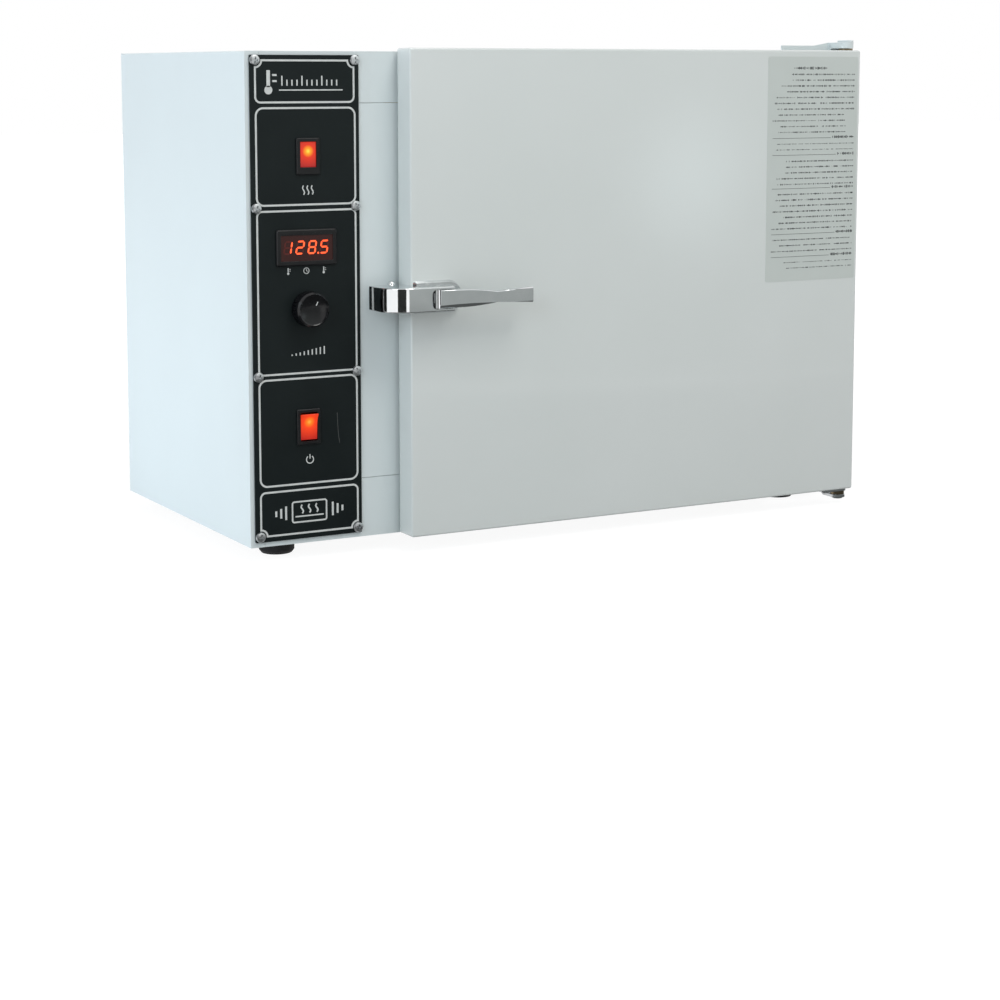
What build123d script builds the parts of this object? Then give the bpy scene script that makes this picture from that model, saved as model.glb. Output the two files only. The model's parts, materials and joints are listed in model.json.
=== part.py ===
from build123d import *

import os

os.makedirs("parts", exist_ok=True)

# Bench-top laboratory oven with a control column on the left and a side-hinged door.
# Everything is drawn from the cabinet's lower front left corner: x runs to the right,
# y runs back from the cabinet's front face, z runs up from the cabinet's underside.
# The finished pieces are then set down with the origin on the floor, under the middle.

# Cabinet
width = 680.0
depth = 332.0
height = 460.0
sheet = 1.2
bend = 2.0
side_lip = 14.0
rear_lip = 14.0
pan_flange = 20.0
rail_flange = 20.0
partition_flange = 8.0
seam = 0.4
clear = 0.3

# Control column
column_width = 142.0
panel_left = 4.3
panel_right = 113.5
panel_bottom = 4.8
panel_top = height - 3.6
panel_sheet = 2.0

# Heating chamber
chamber_left = 189.0
chamber_right = width - 39.0
chamber_bottom = 56.7
chamber_top = height - 47.8
chamber_depth = depth - 57.0
liner_sheet = 1.0
liner_flange = 15.0
shelf_levels = (110.0, 180.0, 250.0, 320.0)
fitted_levels = (180.0, 320.0)
shelf_wire = 1.6

# Door
door_left = 153.0
door_right = width - 1.5
door_bottom = 0.0
door_top = height + 3.3
door_gap = 4.0
door_thickness = 25.8
door_lip = 14.0
inner_sheet = 0.8
gasket_width = 9.0
gasket_reach = 10.0

# Hinges
hinge_x = width - 11.5
hinge_y = -(door_gap + 13.0)
hinge_pin_radius = 4.0
running_gap = 0.05
bracket_sheet = 3.0

# Latch
latch_z = 230.0
latch_height = 23.2
latch_wall = 2.4
latch_stand = 28.2
lever_pin_x = door_left + 21.0
lever_pin_y = -(door_gap + door_thickness) - 15.2
bolt_pin_x = door_left - 1.0
bolt_pin_y = lever_pin_y + 1.0
latch_pin_radius = 2.0
lever_tip_x = lever_pin_x + 98.0
roller_x = door_left - 9.0
roller_y = -6.9
roller_radius = 4.5

# Controls, by centre
screw_xs = (panel_left + 4.7, panel_right - 4.1)
screw_zs = (panel_bottom + 5.2, 160.6, 316.5, panel_top - 4.6)
screw_radius = 1.75
screw_head_radius = 4.9
lamp_x = 60.8
lamp_z = 363.5
lamp_width = 23.7
lamp_height = 34.0
display_x = 58.4
display_z = 279.3
display_width = 60.9
display_height = 33.9
knob_x = 59.5
knob_z = 222.0
knob_radius = 16.8
knob_height = 14.6
shaft_radius = 3.0
switch_x = 58.7
switch_z = 111.0
switch_width = 23.8
switch_height = 33.4

# Feet and rear fittings
foot_height = 16.0
foot_radius = 17.0
foot_inset = 45.0
gland_x = 70.0
gland_z = 46.0
gland_bore = 4.0
gland_reach = 20.0
fuse_x = 110.0

door_front = -(door_gap + door_thickness)
door_back = -door_gap
latch_front = door_front - latch_stand
back_face = depth - sheet
inner_right = width - sheet
roof = height - sheet


def facing(y):
    """A plane seen from the front; extruding by a negative amount goes back."""
    return Plane.XZ.offset(-y)


def facing_back(y):
    """A plane seen from behind; its own x runs against the oven's."""
    return Plane(origin=(0, y, 0), x_dir=(-1, 0, 0), z_dir=(0, 1, 0))


def slab(x, y, z, mode=Mode.ADD):
    """Add or cut the block between three pairs of coordinates."""
    with Locations((x[0], y[0], z[0])):
        Box(x[1] - x[0], y[1] - y[0], z[1] - z[0], align=(Align.MIN,) * 3, mode=mode)


def rod(x, z, y, radius, mode=Mode.ADD):
    """Add or cut a round rod that runs front to back between two depths."""
    with Locations((x, y[0], z)):
        Cylinder(radius, y[1] - y[0], rotation=(-90, 0, 0),
                 align=(Align.CENTER, Align.CENTER, Align.MIN), mode=mode)


def post(x, y, z, radius, mode=Mode.ADD):
    """Add or cut an upright round post between two heights."""
    with Locations((x, y, z[0])):
        Cylinder(radius, z[1] - z[0], align=(Align.CENTER, Align.CENTER, Align.MIN), mode=mode)


def crossbar(y, z, x, radius, mode=Mode.ADD):
    """Add or cut a round bar that runs left to right."""
    with Locations((x[0], y, z)):
        Cylinder(radius, x[1] - x[0], rotation=(0, 90, 0),
                 align=(Align.CENTER, Align.CENTER, Align.MIN), mode=mode)


def pan_head_screws(places, plane, length, radius, head_radius):
    """Pan-head screws on a plane that faces outwards, with their shanks going in."""
    with BuildPart() as screws:
        for shape, reach, taper in ((head_radius, 0.52 * head_radius, 24), (radius, -length, 0)):
            with BuildSketch(plane):
                with Locations(*places):
                    RegularPolygon(shape, 8)
            extrude(amount=reach, taper=taper)
    return screws


# Outer casing

rear_screw_places = [(x, z) for x in (side_lip / 2, width - side_lip / 2)
                     for z in (30.0, height / 2, height - 30.0)]
rear_screw_places += [(width / 2 + reach, height - rear_lip / 2) for reach in (-110.0, 110.0)]
hinge_screw_places = [(hinge_x - reach, 14.0) for reach in (54.0, 31.0, 8.0)]
hinge_screw_radius = 2.0

# One sheet folded over the left side, the roof and the right side, with narrow lips
with BuildPart() as casing_wrap:
    with BuildSketch(facing(0)) as wrap_section:
        with Locations((width / 2, height / 2)):
            Rectangle(width, height)
        fillet(wrap_section.vertices().group_by(Axis.Y)[-1], bend)
        with Locations((width / 2, roof / 2)):
            Rectangle(width - 2 * sheet, roof, mode=Mode.SUBTRACT)
    extrude(amount=-back_face)
    for lip in ((sheet, side_lip), (width - side_lip, inner_right)):
        slab(lip, (0, sheet), (0, roof))
        slab(lip, (back_face - sheet, back_face), (0, roof))
    slab((side_lip, width - side_lip), (back_face - sheet, back_face), (height - rear_lip, roof))
    for z in screw_zs:
        rod(screw_xs[0], z, (0, sheet), screw_radius + clear, Mode.SUBTRACT)
    for x, z in rear_screw_places:
        rod(x, z, (back_face - sheet, back_face), screw_radius + clear, Mode.SUBTRACT)
    for x, y in hinge_screw_places:
        post(x, y, (roof, height), hinge_screw_radius + clear, Mode.SUBTRACT)

foot_places = [(x, y) for x in (foot_inset, width - foot_inset)
               for y in (foot_inset, depth - foot_inset)]

# Tray that closes the underside and carries the feet
with BuildPart() as base_pan:
    slab((sheet, inner_right), (sheet, back_face - sheet), (0, sheet))
    for lip in ((sheet, 2 * sheet), (inner_right - sheet, inner_right)):
        slab(lip, (sheet, back_face - sheet), (sheet, pan_flange))
    slab((2 * sheet, inner_right - sheet), (back_face - 2 * sheet, back_face - sheet),
         (sheet, pan_flange))
    for x, y in foot_places:
        post(x, y, (0, sheet), 2.9, Mode.SUBTRACT)
    for x, y in hinge_screw_places:
        post(x, y, (0, sheet), hinge_screw_radius + clear, Mode.SUBTRACT)
    with BuildSketch(Plane.XY):
        with Locations((75.0, 150.0)):
            with GridLocations(0, 14.0, 1, 6):
                Rectangle(70.0, 5.0)
    extrude(amount=sheet, mode=Mode.SUBTRACT)

louvre_left = 22.0
louvre_right = 122.0
louvre_count = 8
louvre_pitch = 17.0
louvre_first = height - 198.0
louvre_drop = 9.0
louvre_stand = 5.0

# Flat back with pressed cooling louvres behind the control column
with BuildPart() as back_panel:
    slab((0, width), (back_face, depth), (0, height))
    for x, z in rear_screw_places:
        rod(x, z, (back_face, depth), screw_radius + clear, Mode.SUBTRACT)
    rod(gland_x, gland_z, (back_face, depth), 8.0, Mode.SUBTRACT)
    rod(fuse_x, gland_z, (back_face, depth), 6.2, Mode.SUBTRACT)
    for number in range(louvre_count):
        foot_line = louvre_first + number * louvre_pitch
        crown = foot_line + louvre_drop
        lip = depth + louvre_stand
        outer_bulge = (depth + 0.78 * louvre_stand, foot_line + 0.58 * louvre_drop)
        inner_bulge = (depth + 0.78 * (louvre_stand - sheet), foot_line + 0.54 * (louvre_drop - sheet))
        slab((louvre_left + sheet, louvre_right - sheet), (back_face, depth),
             (foot_line, crown - sheet), Mode.SUBTRACT)
        with BuildSketch(Plane.YZ.offset(louvre_left)):
            with BuildLine():
                ThreePointArc((depth, crown), outer_bulge, (lip, foot_line))
                Line((lip, foot_line), (lip - sheet, foot_line))
                ThreePointArc((lip - sheet, foot_line), inner_bulge, (depth, crown - sheet))
                Line((depth, crown - sheet), (depth, crown))
            make_face()
        extrude(amount=louvre_right - louvre_left)
        for x in (louvre_left, louvre_right - sheet):
            with BuildSketch(Plane.YZ.offset(x)):
                with BuildLine():
                    ThreePointArc((depth, crown), outer_bulge, (lip, foot_line))
                    Polyline((lip, foot_line), (depth, foot_line), (depth, crown))
                make_face()
            extrude(amount=sheet)

rear_screws = pan_head_screws([(-x, z) for x, z in rear_screw_places], facing_back(depth), 3.4,
                              screw_radius, 3.9)

# Front rails, folded back at both edges
with BuildPart() as top_rail:
    slab((side_lip + clear, width - side_lip - clear), (0, sheet), (chamber_top + seam / 2, roof))
    for z in ((chamber_top + seam / 2, chamber_top + seam / 2 + sheet), (roof - sheet, roof)):
        slab((side_lip + clear, width - side_lip - clear), (sheet, rail_flange), z)
    rod(screw_xs[1], screw_zs[3], (0, sheet), screw_radius + clear, Mode.SUBTRACT)
    for x, y in hinge_screw_places:
        post(x, y, (roof - sheet, roof), hinge_screw_radius + clear, Mode.SUBTRACT)

with BuildPart() as bottom_rail:
    slab((side_lip + clear, width - side_lip - clear), (0, sheet), (0, chamber_bottom - seam / 2))
    for z in ((sheet, 2 * sheet), (chamber_bottom - seam / 2 - sheet, chamber_bottom - seam / 2)):
        slab((side_lip + clear, width - side_lip - clear), (sheet, rail_flange), z)
    rod(screw_xs[1], screw_zs[0], (0, sheet), screw_radius + clear, Mode.SUBTRACT)
    for x, y in hinge_screw_places:
        post(x, y, (sheet, 2 * sheet), hinge_screw_radius + clear, Mode.SUBTRACT)

column_bottom = chamber_bottom + seam / 2
column_top = chamber_top - seam / 2
keeper_left = roller_x - 20.0
keeper_right = roller_x + 7.0
keeper_half = 9.7
keeper_screw_x = roller_x - 15.0
keeper_screw_half = 5.6

# Plate between the rails, left of the chamber, open behind the controls
with BuildPart() as front_column:
    slab((side_lip + clear, chamber_left), (0, sheet), (column_bottom, column_top))
    slab((panel_left + 15.7, panel_right - 15.5), (0, sheet), (76.0, panel_top - 60.4),
         Mode.SUBTRACT)
    for z in screw_zs[1:3]:
        rod(screw_xs[1], z, (0, sheet), screw_radius + clear, Mode.SUBTRACT)
    for side in (-1, 1):
        rod(keeper_screw_x, latch_z + side * keeper_screw_half, (0, sheet), 1.6 + clear,
            Mode.SUBTRACT)

with BuildPart() as right_stile:
    slab((chamber_right, width - side_lip - clear), (0, sheet), (column_bottom, column_top))
    slab((width - side_lip - clear - sheet, width - side_lip - clear), (sheet, rail_flange),
         (column_bottom, column_top))

# Heating chamber, insulation and partition

probe_y = chamber_depth - 13.0
probe_z = chamber_top - 52.2
probe_radius = 3.0
heater_z = chamber_bottom + 11.3
heater_radius = 4.0
heater_first_y = 55.0
heater_runs = 4
heater_pitch = (chamber_depth - heater_first_y - 64.0) / (heater_runs - 1)
heater_turn_left = chamber_left + 46.0
heater_turn_right = chamber_right - 36.0
terminal_x = column_width - 22.0
heater_ys = [heater_first_y + number * heater_pitch for number in range(heater_runs)]

# Stainless box, open at the front, with a flange turned out over the rails
with BuildPart() as chamber_liner:
    slab((chamber_left, chamber_right), (0, chamber_depth), (chamber_bottom, chamber_top))
    fillet(chamber_liner.edges().filter_by(Axis.Y), 6.0)
    slab((chamber_left - liner_flange, chamber_right + liner_flange), (-liner_sheet, 0),
         (chamber_bottom - liner_flange, chamber_top + liner_flange))
    with BuildSketch(facing(-liner_sheet)) as cavity:
        with Locations(((chamber_left + chamber_right) / 2, (chamber_bottom + chamber_top) / 2)):
            RectangleRounded(chamber_right - chamber_left - 2 * liner_sheet,
                             chamber_top - chamber_bottom - 2 * liner_sheet, 5.0)
    extrude(amount=-chamber_depth, mode=Mode.SUBTRACT)
    for y in (heater_ys[0], heater_ys[-1]):
        crossbar(y, heater_z, (chamber_left, chamber_left + liner_sheet), heater_radius + clear,
                 Mode.SUBTRACT)
    crossbar(probe_y, probe_z, (chamber_left, chamber_left + liner_sheet), probe_radius + clear,
             Mode.SUBTRACT)

slab_front = rail_flange + 1.5
slab_back = back_face - 2 * sheet
slab_right = inner_right - sheet

with BuildPart() as roof_and_floor_insulation:
    slab((column_width, slab_right), (slab_front, slab_back), (chamber_top, roof))
    slab((column_width, slab_right), (slab_front, slab_back), (sheet + 4.0, chamber_bottom))

with BuildPart() as side_insulation:
    slab((column_width, chamber_left), (slab_front, chamber_depth), (chamber_bottom, chamber_top))
    slab((chamber_right, slab_right), (slab_front, chamber_depth), (chamber_bottom, chamber_top))
    for y in (heater_ys[0], heater_ys[-1]):
        crossbar(y, heater_z, (column_width, chamber_left), heater_radius + 2 * clear,
                 Mode.SUBTRACT)
    crossbar(probe_y, probe_z, (column_width, chamber_left), probe_radius + 2 * clear,
             Mode.SUBTRACT)

with BuildPart() as back_insulation:
    slab((column_width, slab_right), (chamber_depth, slab_back), (chamber_bottom, chamber_top))

board_y = (110.0, 230.0)
board_z = (120.0, 260.0)
board_inset = 8.0
board_fixings = [(y, z) for y in (board_y[0] + board_inset, board_y[1] - board_inset)
                 for z in (board_z[0] + board_inset, board_z[1] - board_inset)]

# Wall between the control column and the insulation, flanged front and back
with BuildPart() as partition_wall:
    slab((column_width - sheet, column_width), (sheet, slab_back), (sheet, roof))
    for y in ((sheet, 2 * sheet), (slab_back - sheet, slab_back)):
        slab((column_width - sheet - partition_flange, column_width - sheet), y,
             (chamber_bottom, chamber_top))
    for z in ((sheet, chamber_bottom), (chamber_top, roof)):
        slab((column_width - sheet, column_width), (sheet, rail_flange + clear), z, Mode.SUBTRACT)
    for y in (heater_ys[0], heater_ys[-1]):
        crossbar(y, heater_z, (column_width - sheet, column_width), heater_radius + clear,
                 Mode.SUBTRACT)
    crossbar(probe_y, probe_z, (column_width - sheet, column_width), probe_radius + clear,
             Mode.SUBTRACT)

# Tubular element with round bends, and a collar where each end leaves the chamber
with BuildPart() as heating_element:
    with BuildLine() as element_path:
        points = [(terminal_x, heater_ys[0], heater_z)]
        for number in range(heater_runs):
            ends = (heater_turn_right, heater_turn_left) if number % 2 == 0 else (
                heater_turn_left, heater_turn_right)
            if number > 0:
                points.append((ends[1], heater_ys[number], heater_z))
            if number < heater_runs - 1:
                points.append((ends[0], heater_ys[number], heater_z))
        points.append((terminal_x, heater_ys[-1], heater_z))
        FilletPolyline(*points, radius=heater_pitch / 2 - 0.01)
    with BuildSketch(Plane(origin=points[0], z_dir=(1, 0, 0))):
        RegularPolygon(heater_radius, 6)
    sweep()
    for y in (heater_ys[0], heater_ys[-1]):
        crossbar(y, heater_z, (chamber_left + liner_sheet, chamber_left + liner_sheet + 4), 5.2)
        crossbar(y, heater_z, (terminal_x - 9, terminal_x), 1.6)

with BuildPart() as temperature_probe:
    crossbar(probe_y, probe_z, (column_width - 18, chamber_left + 62), probe_radius)
    fillet(temperature_probe.edges().sort_by(Axis.X)[-1], probe_radius * 0.8)
    crossbar(probe_y, probe_z, (chamber_left + liner_sheet, chamber_left + liner_sheet + 5), 6.5)

baffle_z = heater_z + 12.0
baffle_left = chamber_left + liner_sheet + 8
baffle_right = chamber_right - liner_sheet - 7
baffle_front = 12.0
baffle_back = chamber_depth - 12.0

# Perforated floor plate that stands over the element on its folded sides
with BuildPart() as floor_baffle:
    with BuildSketch(facing(baffle_front)) as baffle_section:
        with BuildLine():
            Polyline((baffle_left, baffle_z - 5), (baffle_left, baffle_z),
                     (baffle_right, baffle_z), (baffle_right, chamber_bottom + liner_sheet),
                     (baffle_right - liner_sheet, chamber_bottom + liner_sheet),
                     (baffle_right - liner_sheet, baffle_z - liner_sheet),
                     (baffle_left + liner_sheet, baffle_z - liner_sheet),
                     (baffle_left + liner_sheet, baffle_z - 5), close=True)
        make_face()
    extrude(amount=-(baffle_back - baffle_front))
    slab((baffle_left, baffle_right), (baffle_back - liner_sheet, baffle_back),
         (chamber_bottom + liner_sheet, baffle_z - liner_sheet))
    with BuildSketch(Plane.XY.offset(baffle_z)):
        with Locations(((baffle_left + baffle_right) / 2, (baffle_front + baffle_back) / 2)):
            with GridLocations((baffle_right - baffle_left) / 7, (baffle_back - baffle_front) / 7,
                               6, 5):
                Rectangle(38.0, 8.0)
    extrude(amount=-liner_sheet, mode=Mode.SUBTRACT)

rail_reach = 12.0
rail_front = 20.0
rail_back = chamber_depth - 31.0


def shelf_rack(wall, inward):
    """Upright strip with a folded ledge at every shelf level, against one wall."""
    low = shelf_levels[0] - 18
    high = shelf_levels[-1] + 18
    with BuildPart() as rack:
        with BuildSketch(facing(rail_front)) as strip:
            with Locations((wall + inward * liner_sheet / 2, (low + high) / 2)):
                Rectangle(liner_sheet, high - low)
            for level in shelf_levels:
                with Locations((wall + inward * rail_reach / 2, level - liner_sheet / 2)):
                    Rectangle(rail_reach, liner_sheet)
                with Locations((wall + inward * (rail_reach - liner_sheet / 2), level - 3)):
                    Rectangle(liner_sheet, 6)
        extrude(amount=-(rail_back - rail_front))
        with BuildSketch(Plane.YZ.offset(wall)):
            for lower, upper in zip(shelf_levels, shelf_levels[1:]):
                with Locations(((rail_front + rail_back) / 2, (lower + upper) / 2 + 2)):
                    Rectangle(rail_back - rail_front - 74.0, 30.0)
        extrude(amount=inward * liner_sheet, mode=Mode.SUBTRACT)
    return rack


shelf_rack_left = shelf_rack(chamber_left + liner_sheet, 1)
shelf_rack_right = shelf_rack(chamber_right - liner_sheet, -1)

shelf_left = chamber_left + 2 * liner_sheet + 3
shelf_right = chamber_right - 2 * liner_sheet - 3
shelf_front = rail_front + 4.0
shelf_back = rail_back - 4.0
shelf_bars = 18
shelf_middle = (shelf_left + shelf_right) / 2


def wire_shelf(level):
    """Rim and cross rods below, long rods welded on top, resting on the ledges."""
    rim_z = level + 2.4
    top_z = rim_z + 2.4 + shelf_wire - 0.8
    with BuildPart() as shelf:
        with BuildLine():
            FilletPolyline((shelf_middle, shelf_front, rim_z), (shelf_right, shelf_front, rim_z),
                           (shelf_right, shelf_back, rim_z), (shelf_middle, shelf_back, rim_z),
                           radius=8.0)
        with BuildSketch(Plane(origin=(shelf_middle, shelf_front, rim_z), z_dir=(1, 0, 0))):
            RegularPolygon(2.4, 6)
        sweep()
        mirror(about=Plane.YZ.offset(shelf_middle))
        with BuildSketch(Plane.YZ.offset(shelf_left)):
            with Locations(((shelf_front + shelf_back) / 2, rim_z)):
                RegularPolygon(2.3, 4)
        extrude(amount=shelf_right - shelf_left)
        step = (shelf_right - shelf_left - 24) / (shelf_bars - 1)
        with BuildSketch(facing(shelf_front - 1)):
            with Locations((shelf_middle, top_z)):
                with GridLocations(step, 0, shelf_bars, 1):
                    RegularPolygon(shelf_wire, 4)
        extrude(amount=-(shelf_back - shelf_front + 2))
    return shelf


wire_shelf_lower = wire_shelf(fitted_levels[0])
wire_shelf_upper = wire_shelf(fitted_levels[1])

# Control panel and what it carries

panel_face = -panel_sheet
switch_body_width = switch_width - 4.0
switch_body_height = switch_height - 3.0

with BuildPart() as control_panel:
    slab((panel_left, panel_right), (panel_face, 0), (panel_bottom, panel_top))
    fillet(control_panel.edges().filter_by(Axis.Y), 1.0)
    for x in screw_xs:
        for z in screw_zs:
            rod(x, z, (panel_face, 0), screw_radius + clear, Mode.SUBTRACT)
    slab((lamp_x - 9.5, lamp_x + 9.5), (panel_face, 0), (lamp_z - 14, lamp_z + 14), Mode.SUBTRACT)
    slab((display_x - 27, display_x + 27), (panel_face, 0),
         (display_z - 14.0, display_z + 13.5), Mode.SUBTRACT)
    rod(knob_x, knob_z, (panel_face, 0), 4.6, Mode.SUBTRACT)
    slab((switch_x - switch_body_width / 2, switch_x + switch_body_width / 2), (panel_face, 0),
         (switch_z - switch_body_height / 2, switch_z + switch_body_height / 2), Mode.SUBTRACT)

panel_screws = pan_head_screws([(x, z) for x in screw_xs for z in screw_zs],
                               facing(panel_face), 9.0, screw_radius, screw_head_radius)

lens_z = 365.2
lens_width = 16.2
lens_height = 23.4

# Snap-in indicator: raised rim, body behind the panel and two tabs
with BuildPart() as lamp_housing:
    with BuildSketch(facing(panel_face)):
        with Locations((lamp_x, lamp_z)):
            RectangleRounded(lamp_width, lamp_height, 1.6)
    extrude(amount=2.4)
    chamfer(lamp_housing.faces().sort_by(Axis.Y)[0].edges(), 0.7)
    slab((lamp_x - 9.2, lamp_x + 9.2), (panel_face, 18), (lamp_z - 13.7, lamp_z + 13.7))
    slab((lamp_x - lens_width / 2, lamp_x + lens_width / 2), (panel_face - 2.4, 4),
         (lens_z - lens_height / 2, lens_z + lens_height / 2), Mode.SUBTRACT)
    for x in (lamp_x - 4, lamp_x + 4):
        slab((x - 0.4, x + 0.4), (18, 26), (lamp_z - 3, lamp_z + 3))

with BuildPart() as lamp_lens:
    slab((lamp_x - lens_width / 2, lamp_x + lens_width / 2), (panel_face - 1.4, 4),
         (lens_z - lens_height / 2, lens_z + lens_height / 2))
    fillet(lamp_lens.faces().sort_by(Axis.Y)[0].edges(), 0.9)

window_width = 52.7
window_height = 24.0

with BuildPart() as display_bezel:
    with BuildSketch(facing(panel_face)):
        with Locations((display_x, display_z)):
            RectangleRounded(display_width, display_height, 2.2)
    extrude(amount=2.6)
    chamfer(display_bezel.faces().sort_by(Axis.Y)[0].edges(), 1.0)
    slab((display_x - 26.7, display_x + 26.7), (panel_face, 10),
         (display_z - 13.7, display_z + 13.2))
    slab((display_x - window_width / 2, display_x + window_width / 2),
         (panel_face - 2.6, panel_face - 0.6),
         (display_z - window_height / 2 - 0.4, display_z + window_height / 2 - 0.4), Mode.SUBTRACT)
    slab((display_x - 25, display_x + 25), (panel_face - 0.6, 10),
         (display_z - 11.6, display_z + 10.8), Mode.SUBTRACT)

with BuildPart() as display_window:
    slab((display_x - window_width / 2, display_x + window_width / 2),
         (panel_face - 1.8, panel_face - 0.6),
         (display_z - window_height / 2 - 0.4, display_z + window_height / 2 - 0.4))

with BuildPart() as display_module:
    slab((display_x - 24.7, display_x + 24.7), (panel_face + 0.6, 10),
         (display_z - 10.4, display_z + 9.9))
    slab((display_x - 30, display_x + 30), (10, 11.6), (display_z - 20, display_z + 20))
    for x in (display_x - 16, display_x + 4):
        slab((x, x + 12), (11.6, 15), (display_z - 8, display_z + 6))

# Potentiometer: can behind the panel, threaded bush through it and a nut under the knob
with BuildPart() as potentiometer:
    rod(knob_x, knob_z, (0, 11), 12.0)
    chamfer(potentiometer.edges().sort_by(Axis.Y)[-1], 1.2)
    slab((knob_x - 9, knob_x + 9), (2.5, 4.5), (knob_z - 21, knob_z - 8))
    rod(knob_x, knob_z, (panel_face - 5, 0), 4.4)
    with BuildSketch(facing(panel_face)):
        with Locations((knob_x, knob_z)):
            RegularPolygon(6.5, 6)
    extrude(amount=2.2)
    rod(knob_x, knob_z, (panel_face - 5, 7), shaft_radius + running_gap, Mode.SUBTRACT)

shaft_tip = panel_face - knob_height + 2.5

with BuildPart() as potentiometer_shaft:
    rod(knob_x, knob_z, (shaft_tip, 7 - clear), shaft_radius)

knob_back = panel_face - 0.8
knob_face = panel_face - knob_height

# Fluted dial knob: skirt, ribbed grip, smooth cap rim and a hollow back over the nut
with BuildPart() as control_knob:
    with BuildSketch(Plane(origin=(knob_x, 0, knob_z), x_dir=(1, 0, 0), z_dir=(0, 0, 1))):
        with BuildLine():
            Polyline((0, knob_back), (knob_radius, knob_back), (knob_radius - 0.6, knob_face + 1.8),
                     (knob_radius - 2.2, knob_face), (knob_radius - 3.6, knob_face + 0.9),
                     (0, knob_face + 0.9), close=True)
        make_face()
    revolve(axis=Axis((knob_x, 0, knob_z), (0, 1, 0)))
    with BuildSketch(facing(knob_back)):
        with Locations((knob_x, knob_z)):
            with PolarLocations(knob_radius + 0.35, 28):
                RegularPolygon(1.15, 4)
    extrude(amount=knob_height - 4.2, mode=Mode.SUBTRACT)
    rod(knob_x, knob_z, (knob_back - 5.0, knob_back), 8.5, Mode.SUBTRACT)
    rod(knob_x, knob_z, (shaft_tip, knob_back), shaft_radius, Mode.SUBTRACT)

rocker_width = 16.6
rocker_height = 24.6
rocker_pivot_y = panel_face + 1.5
rocker_pin_radius = 1.6
well_width = rocker_width + 2 * clear
well_height = rocker_height + 9 * clear

# Mains switch body: rim on the panel, well for the rocker, tabs behind
with BuildPart() as switch_housing:
    with BuildSketch(facing(panel_face)):
        with Locations((switch_x, switch_z)):
            RectangleRounded(switch_width, switch_height, 1.4)
    extrude(amount=2.2)
    chamfer(switch_housing.faces().sort_by(Axis.Y)[0].edges(), 0.7)
    slab((switch_x - switch_body_width / 2 + clear, switch_x + switch_body_width / 2 - clear),
         (panel_face, 22), (switch_z - switch_body_height / 2 + clear,
                            switch_z + switch_body_height / 2 - clear))
    slab((switch_x - well_width / 2, switch_x + well_width / 2), (panel_face - 2.2, 13),
         (switch_z - well_height / 2, switch_z + well_height / 2), Mode.SUBTRACT)
    crossbar(rocker_pivot_y, switch_z, (switch_x - rocker_width / 2 - 1.2,
                                        switch_x + rocker_width / 2 + 1.2),
             rocker_pin_radius + running_gap, Mode.SUBTRACT)
    for z in (switch_z - 8, switch_z, switch_z + 8):
        slab((switch_x - 3, switch_x + 3), (22, 31), (z - 0.4, z + 0.4))

rocker_tip = 5.6
rocker_low = 1.2

# Illuminated rocker, drawn pressed in at its lower end
with BuildPart() as power_rocker:
    with BuildSketch(Plane.YZ.offset(switch_x - rocker_width / 2)):
        with BuildLine():
            Polyline((panel_face - rocker_low, switch_z - rocker_height / 2),
                     (panel_face - rocker_low - 0.6, switch_z - 1.0))
            ThreePointArc((panel_face - rocker_low - 0.6, switch_z - 1.0),
                          (panel_face - 2.9, switch_z + rocker_height / 4),
                          (panel_face - rocker_tip, switch_z + rocker_height / 2 - 0.6))
            Polyline((panel_face - rocker_tip, switch_z + rocker_height / 2 - 0.6),
                     (panel_face - rocker_tip + 1.0, switch_z + rocker_height / 2),
                     (1.0, switch_z + rocker_height / 2 - 1.8),
                     (5.5, switch_z + 3.0), (5.5, switch_z - 3.0),
                     (1.6, switch_z - rocker_height / 2 + 1.4),
                     (panel_face - rocker_low, switch_z - rocker_height / 2))
        make_face()
    extrude(amount=rocker_width)
    crossbar(rocker_pivot_y, switch_z, (switch_x - rocker_width / 2 - 1.0,
                                        switch_x + rocker_width / 2 + 1.0), rocker_pin_radius)

# Electrics behind the panel

board_x = column_width - sheet - 10.0

with BuildPart() as control_board:
    slab((board_x - 1.6, board_x), board_y, board_z)
    for y, z in board_fixings:
        crossbar(y, z, (board_x - 1.6, board_x), 1.7, Mode.SUBTRACT)
    slab((board_x - 22, board_x - 1.6), (125.0, 153.0), (205.0, 240.0))
    slab((board_x - 12, board_x - 1.6), (165.0, 205.0), (135.0, 147.0))
    crossbar(190.0, 222.0, (board_x - 26, board_x - 1.6), 8.0)
    crossbar(140.0, 150.0, (board_x - 18, board_x - 1.6), 6.0)

with BuildPart() as board_standoffs:
    for start, reach, radius in ((board_x, column_width - sheet - board_x, 3.4), (board_x - 1.6, 1.6, 1.6),
                                 (board_x - 3.4, 1.8, 3.0)):
        with BuildSketch(Plane.YZ.offset(start)):
            with Locations(*board_fixings):
                RegularPolygon(radius, 6)
        extrude(amount=reach)

transformer_x = (20.0, 76.0)
transformer_y = (back_face - 115.8, back_face - 73.8)
terminal_y = back_face - 68.8

# Laminated core with its winding and two fixing feet
with BuildPart() as transformer:
    slab(transformer_x, (transformer_y[0] + 10, transformer_y[1] - 10), (sheet, 48.0))
    slab((transformer_x[0] + 9, transformer_x[1] - 9), transformer_y, (11.0, 39.0))
    fillet(transformer.edges().filter_by(Axis.Z), 2.0)
    slab((transformer_x[0] - 10, transformer_x[1] + 10),
         (transformer_y[0] + 14, transformer_y[1] - 14), (sheet, sheet + 2))

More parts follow.
